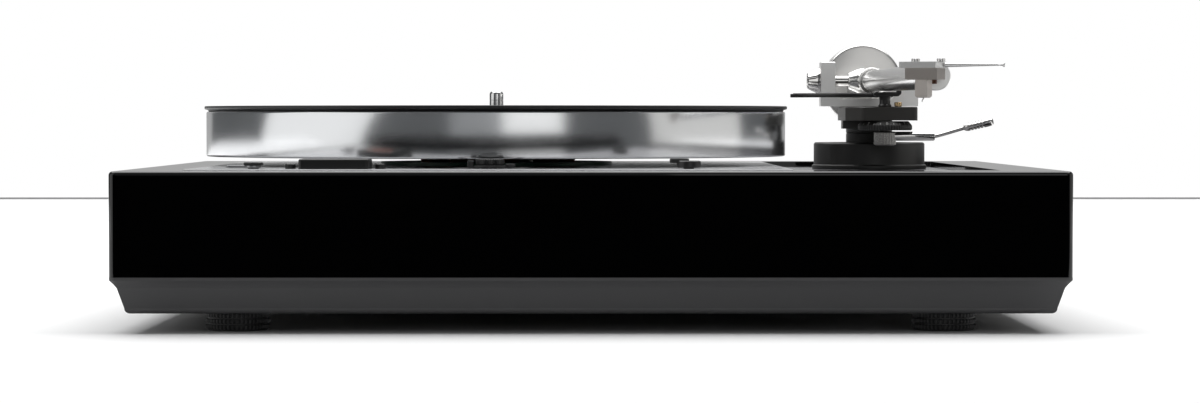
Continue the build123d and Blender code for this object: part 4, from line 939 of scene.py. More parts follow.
class Sockets:
    """The signal sockets, ground post and power inlet in their recess at the back."""

    def build(self) -> None:
        """Makes the connectors."""
        eased_copy("connector_plate", KNOB, 0.25 * MM, "connector_panel")
        self.phono()
        self.ground()
        eased_copy("power_inlet", KNOB, 0.25 * MM, "power_inlet_moulded")

    def phono(self) -> None:
        """Makes two signal sockets: flange, ringed sleeve, bore and rear body."""
        extent = Extent.of("phono_sockets")
        face = Extent.of("connector_plate").high.y
        shells = []
        for x in (extent.low.x + 6.0 * MM, extent.high.x - 6.0 * MM):
            seat = Seat((x, face, extent.centre.z), (0.0, 1.0, 0.0))
            back = (extent.low.y - face) / MM
            rows = [(1.6, 0.6), (1.6, 9.0), (2.3, 9.0), (2.5, 8.7), (2.5, 8.2), (3.5, 8.2), (3.7, 8.6),
                    (3.9, 9.0),
                    (4.15, 8.7), (4.15, 1.6), (4.5, 1.3), (5.6, 1.0), (6.0, 0.7), (6.0, 0.0), (4.0, 0.0),
                    (4.0, back + 0.4), (3.6, back), (0.0, back), (0.0, 0.6)]
            shells.append(turned(rounded(profile(*rows), 0.12 * MM, 2), seat, 48))
        piece_from("signal_sockets", shells[0] + shells[1], ZINC, "phono_sockets")

    def ground(self) -> None:
        """Makes the ground post with its knurled nut."""
        extent = Extent.of("ground_post")
        face = Extent.of("connector_plate").high.y
        seat = Seat((extent.centre.x, face, extent.centre.z), (0.0, 1.0, 0.0))
        low, high = (extent.low.y - face) / MM, (extent.high.y - face) / MM
        rows = [(0.0, low), (1.7, low), (2.0, low + 0.4), (2.0, 3.0), (4.2, 3.0), (4.5, 3.4), (4.5, 7.6),
                (4.2, 8.0), (2.0, 8.0), (2.0, high - 0.4), (1.6, high), (0.0, high)]
        nut = knurl(30, 0.06, 0.0031, 0.0079)
        shell = turned(rounded(profile(*rows), 0.15 * MM, 2), seat, 240, ripple=nut)
        piece_from("ground_nut", shell, ZINC, "ground_post")


# ---------------------------------------------------------------- platter and motor


@dataclass
class Platter:
    """The turned platter with its rubber mat, spindle, magnet and bearing."""

    spans: int = 224
    rib_pitch: float = 2.4
    label_radius: float = 51.0

    def build(self) -> None:
        """Makes what turns and the bearing and motor below it."""
        self.seat = upright(PLATTER.centre.x, PLATTER.centre.y)
        self.bottom, self.top = PLATTER.low.z / MM, PLATTER.high.z / MM
        self.rim()
        self.mat()
        self.spindle()
        dress("rotor_magnet", MAGNET)
        self.bearing()
        self.motor()

    def rim(self) -> None:
        """Makes the platter: a deep rim, a web and a hub, with rounded lips and a turned step."""
        low, high = self.bottom, self.top
        rows = [(5.0, low + 2.1), (22.0, low + 2.1), (22.0, high - 6.0), (60.0, high - 6.0),
                (60.0, high - 7.2),
                (62.0, high - 7.2), (62.0, high - 6.0), (130.0, high - 6.0), (130.0, low), (149.0, low),
                (149.55, low + 0.12), (149.88, low + 0.45), (150.0, low + 1.0), (150.0, high - 1.0),
                (149.88, high - 0.45), (149.55, high - 0.12), (149.0, high), (5.0, high)]
        shell = turned(profile(*rows), self.seat, self.spans * 2, ring=True)
        piece_from("platter_turned", shell, RIM, "platter", sharp=math.radians(40.0))

    def mat(self) -> None:
        """Makes the mat: raised rings outside a plain label area, and a thin outer lip.

        Each ring is one period of a raised cosine of the radius.
        """
        extent = Extent.of("platter_mat")
        low, high = extent.low.z / MM, extent.high.z / MM
        outer = extent.size.x / 2 / MM
        inner = 4.4
        radii = np.arange(self.label_radius + 3.0, outer - 5.2, self.rib_pitch / 5)
        wave = 0.5 - 0.5 * np.cos((radii - radii[0]) / self.rib_pitch * TURN)
        rings = np.stack([radii, high - 0.55 + 0.5 * np.sqrt(wave)], axis=1) * MM
        lower = profile((inner, low + 0.15), (inner + 0.2, low), (outer - 2.2, low),
                        (outer - 1.6, low + 0.8),
                        (outer - 0.25, low + 1.15), (outer, low + 1.4), (outer, high - 0.45),
                        (outer - 0.12, high - 0.15), (outer - 0.45, high), (outer - 3.6, high),
                        (outer - 4.2, high - 0.55))
        label = profile((self.label_radius + 1.5, high - 0.55), (self.label_radius + 1.0, high - 0.5),
                        (self.label_radius, high - 0.9), (9.0, high - 0.9), (8.4, high - 0.35),
                        (inner + 0.3, high - 0.3), (inner, high - 0.5))
        shell = turned(np.vstack([lower, rings[::-1], label]), self.seat, self.spans, ring=True)
        piece_from("ribbed_mat", shell, MAT, "platter_mat", sharp=math.radians(50.0))

    def spindle(self) -> None:
        """Makes the spindle: a shaft, a shoulder and a rounded pin with a turned line."""
        extent = Extent.of("spindle")
        low, high = extent.low.z / MM, extent.high.z / MM
        seat_top, mat_top = self.top, Extent.of("platter_mat").high.z / MM
        pin = 3.575
        rows = [(0.0, low), (4.2, low), (5.0, low + 0.8), (5.0, seat_top), (4.2, seat_top),
                (4.2, mat_top - 0.2),
                (4.05, mat_top), (pin, mat_top + 0.1), (pin, mat_top + 3.0), (pin - 0.14, mat_top + 3.1),
                (pin - 0.14, mat_top + 3.25), (pin, mat_top + 3.35), (pin, high - 1.9)]
        angle = np.linspace(0.0, math.pi / 2, 8)[1:]
        dome = np.stack([pin - 1.7 + 1.7 * np.cos(angle), high - 1.9 + 1.9 * np.sin(angle)], axis=1)
        tip = profile((0.9, high - 0.02), (0.0, high - 0.1))
        shell = turned(np.vstack([profile(*rows), dome * MM, tip]), self.seat, 72)
        piece_from("spindle_turned", shell, SPINDLE, "spindle")

    def bearing(self) -> None:
        """Gives the bearing its finishes."""
        dress("bearing_bushes", BRONZE)
        dress("bearing_housing", ZINC)

    def motor(self) -> None:
        """Makes the motor board with wound coils on it."""
        extent = Extent.of("motor_stator")
        low, high = extent.low.z / MM, extent.high.z / MM
        board = turned(profile((24.5, low), (60.0, low), (60.0, low + 1.6), (24.5, low + 1.6)), self.seat,
                       96, ring=True)
        piece_from("motor_board", board, CIRCUIT, "motor_stator")
        coils = None
        for turn in np.linspace(0.0, TURN, 9, endpoint=False):
            x, y = PLATTER.centre.x + 34 * MM * math.cos(turn), PLATTER.centre.y + 34 * MM * math.sin(turn)
            turns = np.arange(low + 2.1, high - 0.2, 0.55)
            side = np.stack([np.where(np.arange(len(turns)) % 2, 6.95, 6.7), turns], axis=1)
            rows = np.vstack([[(2.4, low + 1.6), (6.6, low + 1.6)], side, [(6.5, high), (2.4, high)]]) * MM
            coil = turned(rows, upright(x, y), 40, ring=True)
            coils = coil if coils is None else coils + coil
        piece_from("motor_coils", coils, COPPER, "motor_stator")


# ---------------------------------------------------------------- controls


@dataclass
class Controls:
    """The strobe, the start and stop levers, the speed lever and the pitch knob."""

    knob_teeth: int = 36

    def build(self) -> None:
        """Makes every control on the top plate."""
        self.plate_top = Extent.of("top_plate").high.z
        self.strobe()
        self.start()
        self.speed()
        self.pitch()
        self.stop()
        self.scale()

    def strobe(self) -> None:
        """Makes the strobe's housing, prism window, lamp and screws."""
        eased_copy("strobe_housing", KNOB, 0.3 * MM, "strobe_case")
        extent = Extent.of("strobe_window")
        half = extent.size / 2
        along = np.linspace(-half.x, half.x, 61)
        ridge = np.where(np.arange(61) % 2, extent.high.z - 0.25 * MM, extent.high.z)
        front, back = np.full(61, extent.low.y), np.full(61, extent.high.y)
        x, floor = along + extent.centre.x, np.full(61, extent.low.z)
        grid = np.stack([np.stack([x, front, floor], 1), np.stack([x, front, ridge], 1),
                         np.stack([x, back, ridge], 1), np.stack([x, back, floor], 1)], axis=1)
        piece_from("strobe_prism", lofted(grid), WINDOW, "strobe_window", sharp=math.radians(10.0))
        lamp = Extent.of("strobe_lamp")
        seat = upright(lamp.centre.x, lamp.centre.y, lamp.low.z)
        outline = box_outline(-lamp.size.x / 2, lamp.size.x / 2, -lamp.size.y / 2, lamp.size.y / 2,
                              1.4 * MM)
        piece_from("strobe_lamp_cap", pressed(outline, 0.0, lamp.size.z, 0.6 * MM, seat, 4), LAMP,
                   "strobe_lamp")
        screws = Extent.of("strobe_screws")
        heads = None
        for x in (screws.low.x + 2.5 * MM, screws.high.x - 2.5 * MM):
            seat = upright(x, screws.centre.y, self.plate_top)
            height = screws.high.z - self.plate_top
            rows = [(0.0, screws.low.z - self.plate_top), (1.45 * MM, screws.low.z - self.plate_top),
                    (1.45 * MM, 0.0), (2.5 * MM, 0.0), (2.5 * MM, height - 0.5 * MM), (2.0 * MM, height),
                    (1.3 * MM, height), (1.3 * MM, height - 1.1 * MM), (0.0, height - 1.2 * MM)]
            head = turned(rounded(rows, 0.25 * MM, 3), seat, 48)
            heads = head if heads is None else heads + head
        piece_from("strobe_cap_screws", heads, KNOB, "strobe_screws")

    def start(self) -> None:
        """Makes the start lever: a brushed tongue with a rounded end and a black cap."""
        extent = Extent.of("start_lever")
        x, y = extent.high.x - 4.65 * MM, extent.centre.y
        rest = self.plate_top + 0.5 * MM
        seat = upright(x, y)
        reach = (extent.low.x - x)
        outline = rounded([(reach, -2.3 * MM), (2.0 * MM, -2.3 * MM), (2.0 * MM, 2.3 * MM),
                           (reach, 2.3 * MM)],
                          [1.9 * MM, 0.5 * MM, 0.5 * MM, 1.9 * MM], 6, closed=True)
        tongue = pressed(outline, rest, rest + 1.2 * MM, 0.3 * MM, seat)
        shaft = turned(rounded([(0, extent.low.z), (2.5 * MM, extent.low.z), (2.5 * MM, rest - 0.1 * MM),
                                (4.0 * MM, rest), (4.0 * MM, rest + 1.15 * MM), (0, rest + 1.15 * MM)],
                               0.2 * MM, 3), seat, 48)
        piece_from("start_tongue", tongue + shaft, LEVER, "start_lever")
        top = extent.high.z
        low = rest + 1.2 * MM
        rows = [(0.0, low), (4.4 * MM, low), (4.65 * MM, low + 0.2 * MM), (4.65 * MM, top - 0.45 * MM),
                (4.2 * MM, top), (3.2 * MM, top), (2.6 * MM, top - 0.3 * MM), (0.0, top - 0.4 * MM)]
        cap = turned(rounded(rows, 0.15 * MM, 3), seat, 200,
                     ripple=knurl(25, 0.035, low + 0.1 * MM, top - 0.5 * MM))
        piece_from("start_cap", cap, KNOB, "start_lever")

    def speed(self) -> None:
        """Makes the speed lever: a ring plate with a raised thumb lobe and a flat pointer."""
        extent = Extent.of("speed_lever")
        knob = Extent.of("pitch_knob")
        seat = upright(knob.centre.x, knob.centre.y)
        rest = self.plate_top + 0.5 * MM
        ring = turned(rounded([(2.6 * MM, rest), (8.6 * MM, rest), (8.6 * MM, rest + MM),
                               (2.6 * MM, rest + MM)],
                              0.2 * MM, 3, closed=True), seat, 72, ring=True)
        tube = turned(rounded([(2.6 * MM, extent.low.z), (3.9 * MM, extent.low.z),
                               (3.9 * MM, rest + 0.1 * MM),
                               (2.6 * MM, rest + 0.1 * MM)], 0.1 * MM, 2, closed=True), seat, 48, ring=True)
        left = (extent.low.x - knob.centre.x)
        lobe = pressed(box_outline(left, -7.5 * MM, -3.2 * MM, 3.2 * MM, 0.9 * MM), rest + 0.2 * MM,
                       extent.high.z, 0.5 * MM, seat, 4)
        for groove in (-1.6, 0.0, 1.6):
            outline = box_outline(left + 0.05 * MM, -7.55 * MM, (groove - 0.5) * MM, (groove + 0.5) * MM,
                                  0.3 * MM)
            lobe = lobe + pressed(outline, rest + 0.4 * MM, extent.high.z, 0.2 * MM, seat, 2)
        neck = pressed(circle_outline(3.25 * MM, 32, (-7.4 * MM, 0.0)), rest, rest + MM, 0.2 * MM, seat)
        pointer = pressed(box_outline(7.3 * MM, 12.0 * MM, -2.5 * MM, 2.5 * MM, 0.6 * MM), rest,
                          rest + 1.8 * MM,
                          0.3 * MM, seat)
        piece_from("speed_lever_black", ring + tube + lobe + neck + pointer, KNOB, "speed_lever")

    def pitch(self) -> None:
        """Makes the pitch knob: a fluted cap with a dished top and its shaft."""
        extent = Extent.of("pitch_knob")
        seat = upright(extent.centre.x, extent.centre.y)
        top = extent.high.z
        low = top - 2.9 * MM
        rows = [(0.0, extent.low.z), (2.5 * MM, extent.low.z), (2.5 * MM, low), (6.6 * MM, low),
                (6.85 * MM, low + 0.25 * MM), (6.85 * MM, top - 0.55 * MM), (6.3 * MM, top),
                (5.2 * MM, top),
                (4.4 * MM, top - 0.35 * MM), (0.0, top - 0.45 * MM)]
        flutes = knurl(self.knob_teeth, 0.035, low + 0.2 * MM, top - 0.3 * MM)
        shell = turned(rounded(rows, 0.15 * MM, 3), seat, self.knob_teeth * 8, ripple=flutes)
        piece_from("pitch_cap", shell, KNOB, "pitch_knob")
        line = pressed(box_outline(3.2 * MM, 5.9 * MM, -0.25 * MM, 0.25 * MM, 0.2 * MM), top - 0.5 * MM,
                       top - 0.02 * MM, 0.02 * MM, seat, 1)
        piece_from("pitch_line", line, INK, "pitch_knob")

    def stop(self) -> None:
        """Makes the stop lever: a stepped disc with a slotted thumb tab."""
        extent = Extent.of("stop_lever")
        x, y = extent.high.x - 5.7 * MM, extent.centre.y
        seat = upright(x, y)
        rest = self.plate_top + 0.5 * MM
        rows = [(0.0, extent.low.z), (2.5 * MM, extent.low.z), (2.5 * MM, rest), (5.5 * MM, rest),
                (5.7 * MM, rest + 0.2 * MM), (5.7 * MM, rest + 2.8 * MM), (5.1 * MM, rest + 3.4 * MM),
                (3.6 * MM, rest + 3.4 * MM), (3.1 * MM, rest + 3.1 * MM), (0.0, rest + 3.0 * MM)]
        disc = turned(rounded(rows, 0.2 * MM, 3), seat, 72)
        left = extent.low.x - x
        tab = pressed(box_outline(left, 0.1 * MM, -1.9 * MM, 1.9 * MM, 1.8 * MM), rest + 2.2 * MM,
                      extent.high.z,
                      0.6 * MM, seat, 4)
        piece_from("stop_lever_black", disc + tab, KNOB, "stop_lever")

    def scale(self) -> None:
        """Makes the printed ring round the speed lever, its ticks and the index mark."""
        extent = Extent.of("speed_scale")
        knob = Extent.of("pitch_knob")
        seat = upright(knob.centre.x, knob.centre.y)
        low = self.plate_top
        ring = turned(rounded([(14.5 * MM, low), (18.0 * MM, low), (18.0 * MM, low + 0.3 * MM),
                               (14.5 * MM, low + 0.3 * MM)], 0.1 * MM, 2, closed=True), seat, 96, ring=True)
        mark = pressed(box_outline(extent.high.x - 4.3 * MM, extent.high.x, -150.6 * MM, -149.4 * MM,
                                   0.3 * MM),
                       low, low + 0.4 * MM, 0.08 * MM, Seat(), 2)
        piece_from("speed_ring", ring + mark, SCALE, "speed_scale")
        ticks = None
        for turn in np.radians(np.arange(-150.0, 151.0, 15.0)):
            tick_seat = Seat(seat.origin, (0.0, 0.0, 1.0), (math.cos(turn), math.sin(turn), 0.0))
            long = 3.0 if round(math.degrees(turn)) % 45 == 0 else 2.1
            outline = box_outline(14.8 * MM, (14.8 + long) * MM, -0.14 * MM, 0.14 * MM, 0.1 * MM)
            tick = pressed(outline, low + 0.2 * MM, low + 0.34 * MM, 0.02 * MM, tick_seat, 1)
            ticks = tick if ticks is None else ticks + tick
        piece_from("speed_ticks", ticks, INK, "speed_scale")


# ---------------------------------------------------------------- tonearm


@dataclass
class ArmPillar:
    """The tonearm's base, column and block, with what stands on the block."""

    flutes: int = 22

    def build(self) -> None:
        """Makes everything from the armboard up to the yoke."""
        self.block_top = Extent.of("arm_block").high.z
        self.base()
        self.column()
        eased_copy("arm_block", BLOCK_BLACK, 0.25 * MM, "arm_block_black")
        self.tower()
        self.dial()
        self.lift()
        self.rest()
        self.thumbscrew()
        self.cue()

    def base(self) -> None:
        """Makes the base: a flange, a tall drum, a spigot and the nut under the board."""
        extent = Extent.of("arm_base")
        low, high = extent.low.z / MM, extent.high.z / MM
        board = Extent.of("armboard").high.z / MM
        bore = 12.55
        rows = [(bore, low), (18.0, low), (18.0, board), (30.6, board), (31.0, board + 0.4),
                (31.0, board + 2.0),
                (30.6, board + 2.4), (30.0, board + 2.5), (30.0, high - 0.9), (29.2, high), (16.0, high),
                (15.6, high - 0.5), (14.0, high - 0.5), (13.6, high), (bore, high)]
        outline = rounded(profile(*rows), 0.3 * MM, 3, closed=True)
        seat = upright(extent.centre.x, extent.centre.y)
        piece_from("arm_base_drum", turned(outline, seat, 144, ring=True), ARM_BLACK, "arm_base")
        dress("arm_base_nut", ZINC)

    def column(self) -> None:
        """Makes the pillar with two shallow turned lines, and dresses its bearings."""
        extent = Extent.of("arm_column")
        low, high = extent.low.z / MM, extent.high.z / MM
        rows = [(8.0, low), (12.2, low), (12.5, low + 0.3), (12.5, high - 7.2), (12.2, high - 7.0),
                (12.2, high - 6.7),
                (12.5, high - 6.5), (12.5, high), (8.0, high)]
        seat = upright(extent.centre.x, extent.centre.y)
        shell = turned(profile(*rows), seat, 96, ring=True)
        piece_from("arm_pillar_turned", shell, ARM_BLACK, "arm_column")
        dress("yaw_bearings", BRONZE)

    def tower(self) -> None:
        """Makes the lift tower: a fluted sleeve below the dial and a plain stem through it."""
        extent = Extent.of("lift_housing")
        low, high = extent.low.z / MM, extent.high.z / MM
        bore = 1.87
        rows = [(bore, low + 0.3), (5.2, low), (5.7, low + 0.3), (5.85, low + 0.8), (5.85, low + 6.9),
                (5.4, low + 7.5),
                (3.0, low + 7.6), (3.0, high - 0.2), (2.8, high), (bore, high)]
        outline = rounded(profile(*rows), 0.2 * MM, 3, closed=True)
        seat = upright(extent.centre.x, extent.centre.y)
        ripple = knurl(self.flutes, 0.09, (low + 0.6) * MM, (low + 7.0) * MM, 1.2)
        piece_from("lift_tower_fluted", turned(outline, seat, self.flutes * 10, ring=True, ripple=ripple),
                   TOWER,
                   "lift_housing")

    def dial(self) -> None:
        """Makes the anti-skating dial: a knurled edge, and a bevel with ticks and figures."""
        extent = Extent.of("antiskate_dial")
        low, high = extent.low.z / MM, extent.high.z / MM
        radius = extent.size.x / 2 / MM
        seat = upright(extent.centre.x, extent.centre.y)
        rows = [(3.06, low), (radius - 0.7, low), (radius, low + 0.6), (radius, low + 2.5),
                (radius - 0.3, low + 2.8),
                (radius - 1.9, high - 0.15), (radius - 2.2, high), (3.06, high)]
        ripple = knurl(60, 0.03, (low + 0.5) * MM, (low + 2.6) * MM)
        shell = turned(profile(*rows), seat, 480, ring=True, ripple=ripple)
        piece_from("antiskate_dial_knurled", shell, DIAL, "antiskate_dial")
        slope = np.array([-1.6, high - 0.15 - (low + 2.8)])
        slope /= np.linalg.norm(slope)
        marks = None
        for step in range(24):
            turn = step * TURN / 24 - math.pi / 2
            out = np.array([math.cos(turn), math.sin(turn), 0.0])
            side = np.array([-out[1], out[0], 0.0])
            up = out * slope[0] + np.array([0, 0, 1.0]) * slope[1]
            foot = np.array(seat.origin) + out * (radius - 0.27) * MM + np.array([0, 0, (low + 2.82) * MM])
            if step % 3 == 0:
                width = 0.11 * MM
                lines = [
                    [foot + side * (x - 0.25) * 1.7 * MM + up * (0.15 + y * 1.75) * MM for x, y in stroke]
                    for stroke in DIGITS[str(step // 3 % 4)]
                ]
            else:
                width = 0.10 * MM
                lines = [[foot + up * 0.15 * MM, foot + up * 1.3 * MM]]
            for line in lines:
                mark = swept(np.array(line), width, 6, up=tuple(np.cross(side, up)), flatness=0.5)
                marks = mark if marks is None else marks + mark
        piece_from("antiskate_figures", marks, INK, "antiskate_dial")

    def lift(self) -> None:
        """Makes the lift bar: an arc about the arm's pivot with a rubber strip, on a polished post."""
        extent = Extent.of("lift_bar")
        arm = Extent.of("arm_column").centre
        tower = Extent.of("lift_housing").centre
        top = extent.high.z
        arc = np.radians(np.linspace(-152.0, -80.0, 40))

        def band(inner: float, outer: float, start: int, end: int) -> np.ndarray:
            part = arc[start:end]
            ahead = np.stack([outer * np.cos(part), outer * np.sin(part)], axis=1)
            back = np.stack([inner * np.cos(part), inner * np.sin(part)], axis=1)[::-1]
            return np.vstack([ahead, back]) * MM

        seat = upright(arm.x, arm.y)
        bar = pressed(band(46.0, 50.0, 0, 40), top - 2.3 * MM, top - 0.35 * MM, 0.3 * MM, seat)
        strip = pressed(band(46.6, 49.4, 1, 39), top - 0.6 * MM, top, 0.25 * MM, seat)
        rows = [(0.0, extent.low.z), (1.5 * MM, extent.low.z), (1.8 * MM, extent.low.z + 0.3 * MM),
                (1.8 * MM, top - 2.1 * MM), (0.0, top - 2.1 * MM)]
        post = turned(np.array(rows), upright(tower.x, tower.y), 32)
        piece_from("lift_bar_black", bar + post, REST_BLACK, "lift_bar")
        piece_from("lift_bar_strip", strip, MAT, "lift_bar")

    def rest(self) -> None:
        """Makes the arm rest: a waisted post under a cradle with one raised side."""
        extent = Extent.of("arm_rest")
        low, high = extent.low.z / MM, extent.high.z / MM
        x, y = 154.8 * MM, extent.centre.y
        block = self.block_top / MM
        rows = [(0.0, low), (1.5, low), (1.5, block), (3.5, block), (3.5, block + 0.6), (2.9, block + 1.4),
                (2.8, block + 3.6), (3.2, block + 5.0), (3.45, block + 5.6), (0.0, block + 5.6)]
        post = turned(rounded(profile(*rows), 0.2 * MM, 3), upright(x, y), 48)
        left, right = extent.low.x, extent.high.x
        floor = 111.0 * MM
        section = [(left, floor + 0.9 * MM), (left + 1.2 * MM, floor), (right - 1.6 * MM, floor),
                   (right, floor + 1.4 * MM), (right, high * MM), (right - 1.0 * MM, high * MM),
                   (right - 1.5 * MM, high * MM - 1.5 * MM), (right - 1.6 * MM, floor + 4.6 * MM),
                   (right - 2.6 * MM, floor + 2.3 * MM), (left + 0.4 * MM, floor + 2.3 * MM)]
        outline = rounded(section, 0.5 * MM, 4, closed=True) - [x, 0.0]
        seat = Seat((x, y, 0.0), (0.0, -1.0, 0.0), (1.0, 0.0, 0.0))
        cradle = pressed(outline, -3.5 * MM, 3.5 * MM, 0.35 * MM, seat)
        piece_from("arm_rest_cradle", post + cradle, REST_BLACK, "arm_rest")

    def thumbscrew(self) -> None:
        """Makes the brass thumbscrew that clamps the rest."""
        extent = Extent.of("rest_thumbscrew")
        low, high = extent.low.z, extent.high.z
        rows = [(0.0, low), (1.2 * MM, low), (1.2 * MM, self.block_top), (1.75 * MM, self.block_top),
                (2.0 * MM, self.block_top + 0.25 * MM), (2.0 * MM, high - 0.3 * MM), (1.6 * MM, high),
                (0.0, high)]
        seat = upright(extent.centre.x, extent.centre.y)
        teeth = knurl(18, 0.08, self.block_top + 0.1 * MM, high - 0.1 * MM)
        piece_from("rest_thumbscrew_brass", turned(rounded(rows, 0.12 * MM, 2), seat, 144, ripple=teeth),
                   BRASS,
                   "rest_thumbscrew")

    def cue(self) -> None:
        """Makes the cueing lever: a sleeve, a thin cranked rod and a ringed grip."""
        shaft = Extent.of("cue_shaft")
        y, z = Extent.of("lift_housing").centre.y, 90.0 * MM
        start, end = shaft.low.x, 182.0 * MM
        seat = Seat((start, y, z), (1.0, 0.0, 0.0), (0.0, 0.0, 1.0))
        length = end - start
        rows = [(0.0, 0.0), (2.1 * MM, 0.0), (2.45 * MM, 0.35 * MM), (2.45 * MM, length - 0.9 * MM),
                (2.1 * MM, length - 0.2 * MM), (1.4 * MM, length), (0.0, length)]
        sleeve = turned(np.array(rows), seat, 48)
        tip = (196.9 * MM, y - 5.0 * MM, 94.4 * MM)
        rod = swept(bent([(end - 1.5 * MM, y, z), (end + 1.0 * MM, y - 0.2 * MM, z + 0.2 * MM), tip], 10),
                    1.05 * MM, 20)
        piece_from("cue_rod_chrome", sleeve + rod, CHROME, "cue_shaft")
        far = np.array((211.7 * MM, y - 10.0 * MM, 97.8 * MM))
        way = far - np.array(tip)
        reach = float(np.linalg.norm(way))
        lines = [(0.0, 0.0), (1.3, 0.0), (1.75, 0.8)]
        for ring in np.arange(2.2, reach / MM - 5.6, 1.75):
            lines += [(2.13, ring), (2.13, ring + 1.0), (1.6, ring + 1.15), (1.6, ring + 1.6)]
        lines += [(2.13, lines[-1][1] + 0.2), (2.13, reach / MM - 0.9), (1.7, reach / MM - 0.2),
                  (1.2, reach / MM),
                  (0.0, reach / MM)]
        shell = turned(profile(*lines), Seat(tip, tuple(way / reach), (0.0, 0.0, 1.0)), 40)
        piece_from("cue_grip_ringed", shell, CHROME, "cue_grip")


@dataclass
class Yoke:
    """The yoke that turns on the pillar and carries the wand between two cone screws."""

    notches: int = 6

    def build(self) -> None:
        """Makes the yoke and its pivot screws."""
        eased_copy("yoke", ARM_ALLOY, 0.35 * MM, "yoke_milled")
        screws = Extent.of("pivot_screws")
        yoke = Extent.of("yoke")
        y, z = screws.centre.y, screws.centre.z
        middle = Extent.of("arm_column").centre.x
        shells = None
        for face, way, tip in ((yoke.low.x, -1.0, screws.low.x), (yoke.high.x, 1.0, screws.high.x)):
            seat = Seat((middle, y, z), (way, 0.0, 0.0), (0.0, 0.0, 1.0))
            inside, outside = 7.6 * MM, abs(tip - middle)
            base = abs(face - middle)
            rows = [(0.0, inside), (1.0 * MM, inside), (2.8 * MM, inside + 1.6 * MM), (2.8 * MM, base),
                    (7.0 * MM, base), (7.3 * MM, base + 0.3 * MM), (7.0 * MM, base + 1.5 * MM),
                    (4.3 * MM, outside - 0.4 * MM), (3.9 * MM, outside), (2.2 * MM, outside),
                    (2.0 * MM, outside - 1.0 * MM), (0.0, outside - 1.1 * MM)]
            low = base + 1.7 * MM
            cut = knurl(self.notches, 0.2, low, outside - 0.2 * MM, 5.0)
            screw = turned(rounded(rows, 0.2 * MM, 3), seat, 144, ripple=cut)
            shells = screw if shells is None else shells + screw
        piece_from("pivot_cone_screws", shells, CHROME, "pivot_screws")


